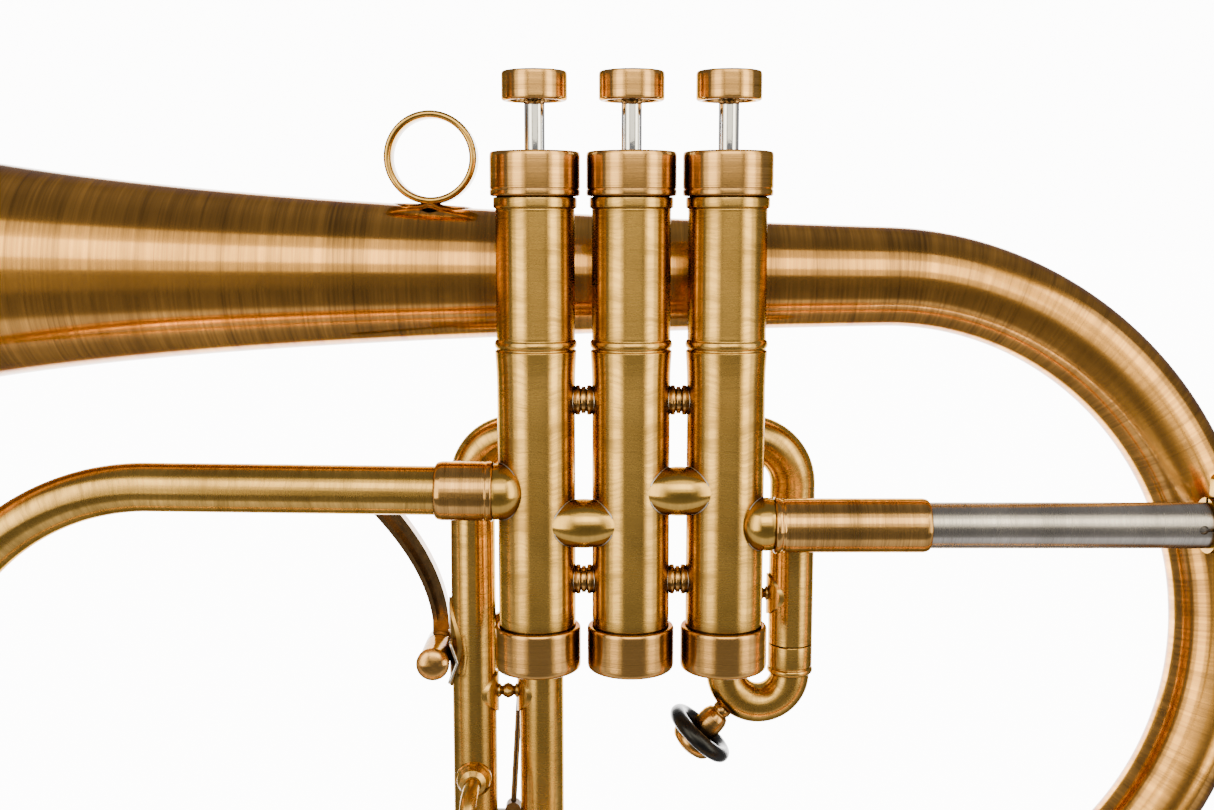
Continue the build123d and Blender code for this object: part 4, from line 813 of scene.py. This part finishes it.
def ferrule_profile(height, bead, outer):
    """Ferrule with a groove and a bead, downwards from its top."""
    return [
        (5.2, 0), (outer - 0.25, 0), (outer, 0.2), (outer, height - 0.1), (outer - 0.28, height + 0.1),
        (outer - 0.28, height + 0.35), (outer + 0.05, height + 0.55), (outer + 0.2, height + 0.9),
        (outer + 0.15, height + bead - 0.6), (outer - 0.3, height + bead - 0.05), (5.2, height + bead),
    ]


def make_crook(name, node, body, legs, top_z, end_z, bow_z):
    radius = (legs[1] - legs[0]) / 2
    corners = [
        (legs[0], SLIDE_Y, top_z), (legs[0], SLIDE_Y, bow_z - radius), (legs[1], SLIDE_Y, bow_z - radius),
        (legs[1], SLIDE_Y, top_z),
    ]
    path = rounded_path(corners, [radius - 0.02 * MM] * 2, step=0.7 * MM)
    piece = sweep(f"{name}_bend", path, R_LEG, M_TUBE, body)
    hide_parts(node)
    profile = soften([(r * MM, s * MM) for r, s in ferrule_profile(6.2, 2.2, 6.0)], 0.2 * MM)
    for k, x in enumerate(legs):
        cuff = lathe(f"{name}_cuff_{k}", (x, SLIDE_Y, end_z - 0.3 * MM), (0, 0, -1), profile, M_TUBE, body)


def make_first_knob():
    bow = Vector(((FIRST_X[0] + FIRST_X[1]) / 2, SLIDE_Y, FIRST_BOW_Z))
    angle = math.radians(228.0)
    direction = Vector((math.cos(angle), 0, math.sin(angle)))
    start = bow + direction * ((FIRST_X[1] - FIRST_X[0]) / 2 + R_LEG - KNOB_SINK)
    profile = [
        (2.4, 0.5), (2.6, 1.2), (2.6, 1.7), (2.25, 2.2), (3.1, 2.8), (3.7, 4.2), (3.85, 6.0), (3.75, 8.0),
        (3.4, 9.2), (3.3, 9.6), (3.3, 12.5), (5.9, 12.65), (6.15, 12.9), (6.15, 13.8), (5.9, 14.4),
        (5.2, 15.2), (3.0, 16.1), (0, 16.45),
    ]
    profile = soften([(r * MM, s * MM) for r, s in profile], 0.3 * MM)
    piece = lathe("pull_knob", start, direction, profile, M_CAP, "first_slide")
    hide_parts("first_slide_knob")
    turns = [math.tau * k / 32 for k in range(32)]
    ring = [((8.1 + 2.15 * math.cos(t)) * MM, (10.4 + 2.15 * math.sin(t)) * MM) for t in turns]
    piece = lathe("rubber_ring", start, direction, ring, M_RUBBER, "first_slide", closed=True, sharp=80)
    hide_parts("first_slide_ring")
    web = [(3.3, 11.3), (6.4, 11.3), (6.4, 12.5), (3.3, 12.5)]
    piece = lathe("ring_web", start, direction, [(r * MM, s * MM) for r, s in web], M_RUBBER, "first_slide")


def make_second_slide():
    x, z_low, z_high = MIDDLE_X, LOWER_Z, UPPER_Z
    pieces = []
    start_y, end_y = VALVE_Y + TUBE_START, VALVE_Y + 25 * MM
    for k, z in enumerate((z_low, z_high)):
        path = [(x, start_y + (end_y - start_y) * t / 8, z) for t in range(9)]
        pieces.append(sweep(f"second_tube_{k}", path, R_TUBE, M_TUBE, "horn"))
        keep_out_of_bores(pieces[-1])
    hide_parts("second_slide_tubes")
    radius = (z_high - z_low) / 2
    tip = end_y + 8 * MM + radius
    inner = VALVE_Y + 12.65 * MM
    corners = [(x, inner, z_low), (x, tip, z_low), (x, tip, z_high), (x, inner, z_high)]
    path = rounded_path(corners, [radius - 0.02 * MM] * 2, step=0.7 * MM)
    bend = sweep("second_bend", path, R_LEG, M_TUBE, "second_slide")
    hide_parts("second_slide_crook")
    profile = soften([(r * MM, s * MM) for r, s in ferrule_profile(5.2, 2.2, 6.0)], 0.2 * MM)
    for k, z in enumerate((z_low, z_high)):
        cuff = lathe(f"second_cuff_{k}", (x, end_y + 0.3 * MM, z), (0, 1, 0), profile, M_TUBE, "second_slide")
    profile = [
        (2.4, -0.6), (2.4, 0.3), (2.0, 1.4), (2.4, 2.6), (4.2, 3.6), (4.6, 4.8), (4.2, 6.0), (2.4, 6.8),
        (0, 7.0),
    ]
    profile = soften([(r * MM, s * MM) for r, s in profile], 0.4 * MM)
    start = (x, tip + R_LEG, (z_low + z_high) / 2)
    knob = lathe("second_knob", start, (0, 1, 0), profile, M_CAP, "second_slide")


# ---------------------------------------------------------------- the rest
def make_trigger_axle():
    """Domed head in front of the trigger's barrel, and the pin behind it."""
    pivot = centre("trigger_axle")
    front = low("trigger_axle").y
    length = (high("trigger_axle").y - front) / MM
    profile = [
        (0, 0), (0.9, 0.03), (1.8, 0.14), (2.8, 0.4), (3.6, 0.8), (4.2, 1.3), (4.45, 1.8), (4.45, 2.6),
        (2.0, 2.6), (2.0, length - 0.3), (1.7, length), (0, length),
    ]
    profile = soften([(r * MM, s * MM) for r, s in profile], 0.25 * MM)
    piece = lathe("axle", (pivot.x, front, pivot.z), (0, 1, 0), profile, M_CAP, "trigger")
    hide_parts("trigger_axle")


def make_finger_ring():
    """Rounded ring that stands on an oval plate soldered to the bell's top."""
    ring_x = centre("finger_ring").x
    outer, inner, half = 12.15, 10.25, 4.0
    middle = Vector((ring_x, BELL_RIM.y, high("finger_ring").z - outer * MM))
    rim, steps = (outer - inner) / 2, 8
    profile = []
    for side in (-1, 1):
        for k in range(steps + 1):
            angle = math.pi * (k / steps) * -side
            across = math.cos(angle) * rim * side
            profile.append((inner + rim - across, side * (half - rim) + side * abs(math.sin(angle)) * rim))
    profile.append(profile[0])
    profile = [(r * MM, s * MM) for r, s in profile]
    piece = lathe("finger_loop", middle, (0, 1, 0), profile, M_RING, "horn", segments=160)
    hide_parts("finger_ring")
    make_ring_plate(ring_x)


def make_ring_plate(ring_x):
    """Thin oval plate wrapped on the bell, with a raised line of solder under the ring."""
    top = bell_radius(ring_x - BELL_RIM.x)
    axis_z = bell_axis_z(ring_x)
    half_x, half_y = 11.0 * MM, 7.0 * MM
    rings, along = [], []
    count, around = 10, 72
    for j in range(count + 1):
        share = j / count
        ring = []
        for k in range(around):
            angle = math.tau * k / around
            dx, across = half_x * share * math.cos(angle), half_y * share * math.sin(angle)
            lift = (0.4 - 0.5 * share**8) * MM + 0.9 * MM * math.exp(-((dx / (1.8 * MM)) ** 2))
            here = bell_radius(ring_x + dx - BELL_RIM.x) + lift
            turn = across / top
            y, z = BELL_RIM.y + here * math.sin(turn), axis_z + here * math.cos(turn)
            ring.append(Vector((ring_x + dx, y, z)))
        rings.append(ring)
        along.append(share * half_x)
    plate = build_mesh("ring_plate", rings, along, M_BELL, "horn", ends=(True, False))


make_bell()
make_big_bow()
make_front_bow()
make_ferrules()
for valve in range(3):
    make_valve(valve)
make_knuckles()
make_end_balls()
make_valve_stays()
make_leadpipe()
make_slide_tubes("first_slide", 0, FIRST_X, 1, FIRST_END_Z)
make_crook("first", "first_slide_crook", "first_slide", FIRST_X, -12 * MM, FIRST_END_Z, FIRST_BOW_Z)
make_slide_tubes("third_slide", 2, THIRD_X, 0, THIRD_END_Z)
make_crook("third", "third_slide_crook", "third_slide", THIRD_X, -20 * MM, THIRD_END_Z, THIRD_BOW_Z)
make_first_knob()
make_second_slide()

finish_node("valve_guides", M_NYLON)
finish_node("cap_felts", M_FELT)
make_finger_ring()
finish_node("slide_stays", node_brass("stay_brass", "X"))
finish_node("trigger_saddle", node_brass("saddle_brass", "Y"))
make_trigger_axle()
finish_node("trigger_lever", M_LEVER)
finish_node("trigger_link", M_STEEL)
finish_node("trigger_spring", M_WIRE)
finish_node("lower_brace", node_brass("brace_brass", "Z"))
finish_node("water_key_saddle", node_brass("key_saddle_brass", "X"))
finish_node("water_key_lever", node_brass("key_brass", "X"))
finish_node("water_key_cork", M_CORK)
finish_node("water_key_spring", M_WIRE)


# ---------------------------------------------------------------- floor, light and camera
WHITE = 13.0  # radiance of the white behind the object
DIM = 0.24  # radiance of the dark room in front of it
FLOOR_Z = -0.75
FLOOR_REACH = 40.0
STUDIO_TINT = (1.0, 0.985, 0.97, 1)
SOFTBOX_TINT = (1.0, 0.92, 0.70)
CAMERA_PLACE = (-220.96 * MM, -344.6 * MM, 74.5 * MM)
CAMERA_LENS, CAMERA_DOWN = 42.16, 7.36  # millimetres, and degrees below level
VIEWPOINT = (-0.221, -0.345, 0.075)  # where the white patch of floor is seen from


def tone_curve(g, value, *stops):
    """Smooth values along one coordinate, as (coordinate, value) pairs."""
    result = stops[0][1]
    for (at, level), (next_at, next_level) in zip(stops, stops[1:]):
        step = g.node(
            "ShaderNodeMapRange",
            {0: value, 1: at, 2: next_at, 3: 0.0, 4: next_level - level},
            interpolation_type="SMOOTHSTEP",
        ).outputs[0]
        result = g.math("ADD", step, result)
    return result


def make_stage():
    """A plain floor well below the object that glows like a light table, brightest where it is in view."""
    mesh = bpy.data.meshes.new("floor")
    signs = ((-1, -1), (1, -1), (1, 1), (-1, 1))
    mesh.from_pydata([(a * FLOOR_REACH, b * FLOOR_REACH, FLOOR_Z) for a, b in signs], [], [(0, 1, 2, 3)])
    g = Graph("floor_white")
    g.shader.inputs["Base Color"].default_value = (0.06, 0.06, 0.06, 1)
    g.shader.inputs["Roughness"].default_value = 0.9
    g.shader.inputs["Specular IOR Level"].default_value = 0.0
    g.shader.inputs["Emission Color"].default_value = STUDIO_TINT
    place = g.node("ShaderNodeTexCoord").outputs["Object"]
    depth = g.node("ShaderNodeSeparateXYZ", {0: place}).outputs["Y"]
    glow = tone_curve(
        g, depth, (-1.0, 0.14), (-0.66, 0.14), (-0.52, 1.0), (-0.1, 0.8), (0.15, 0.35), (0.6, 0.3)
    )
    away = g.node("ShaderNodeVectorMath", {0: place, 1: VIEWPOINT}, operation="SUBTRACT").outputs[0]
    away = g.node("ShaderNodeVectorMath", {0: away}, operation="NORMALIZE").outputs[0]
    forward = g.node("ShaderNodeSeparateXYZ", {0: away}).outputs["Y"]
    patch = tone_curve(g, forward, (0.76, 0.0), (0.835, WHITE))
    g.put(g.shader.inputs["Emission Strength"], g.math("ADD", glow, patch))
    mesh.materials.append(g.material)
    obj = bpy.data.objects.new("floor", mesh)
    bpy.context.scene.collection.objects.link(obj)


def make_world():
    """White behind the object and a dim room in front of it."""
    world = bpy.data.worlds.new("studio")
    bpy.context.scene.world = world
    world.use_nodes = True
    g = Graph.__new__(Graph)
    g.tree = world.node_tree
    back = g.tree.nodes["Background"]
    direction = g.node("ShaderNodeTexCoord").outputs["Generated"]
    forward = g.node("ShaderNodeSeparateXYZ", {0: direction}).outputs["Y"]
    g.put(back.inputs[1], tone_curve(g, forward, (-0.2, DIM), (0.5, 0.35), (0.85, 0.5), (0.905, WHITE)))
    back.inputs[0].default_value = STUDIO_TINT


def softbox(name, azimuth, elevation, width, height, radiance, distance=1.3):
    """A large rectangular light that faces the valves. Azimuth 0 is in front, positive to the right."""
    target = Vector((MIDDLE_X, VALVE_Y, 0.0))
    a, e = math.radians(azimuth), math.radians(elevation)
    direction = Vector((math.sin(a) * math.cos(e), -math.cos(a) * math.cos(e), math.sin(e)))
    data = bpy.data.lights.new(name, "AREA")
    data.shape = "RECTANGLE"
    data.size, data.size_y = width, height
    data.color = SOFTBOX_TINT
    data.energy = radiance * math.pi * width * height
    obj = bpy.data.objects.new(name, data)
    obj.location = target + direction * distance
    obj.rotation_euler = (-direction).to_track_quat("-Z", "Y").to_euler()
    bpy.context.scene.collection.objects.link(obj)


def make_camera():
    data = bpy.data.cameras.new("camera")
    data.lens = CAMERA_LENS
    data.sensor_width = 36.0
    data.clip_start, data.clip_end = 0.01, 100
    obj = bpy.data.objects.new("camera", data)
    obj.location = CAMERA_PLACE
    obj.rotation_euler = (math.radians(90 - CAMERA_DOWN), 0, 0)
    bpy.context.scene.collection.objects.link(obj)
    bpy.context.scene.camera = obj


make_stage()
make_world()
softbox("left_box", -46, 13, 1.1, 1.55, 2.0)
softbox("left_core", -44, 13, 0.5, 1.45, 3.3, 1.25)
softbox("right_box", 61, 13, 1.1, 1.55, 2.0)
softbox("right_core", 57, 13, 0.45, 1.45, 3.8, 1.25)
softbox("top_box", 7, 33, 1.3, 1.35, 1.7)
softbox("top_core", 5, 31, 1.0, 0.5, 4.0, 1.25)
make_camera()
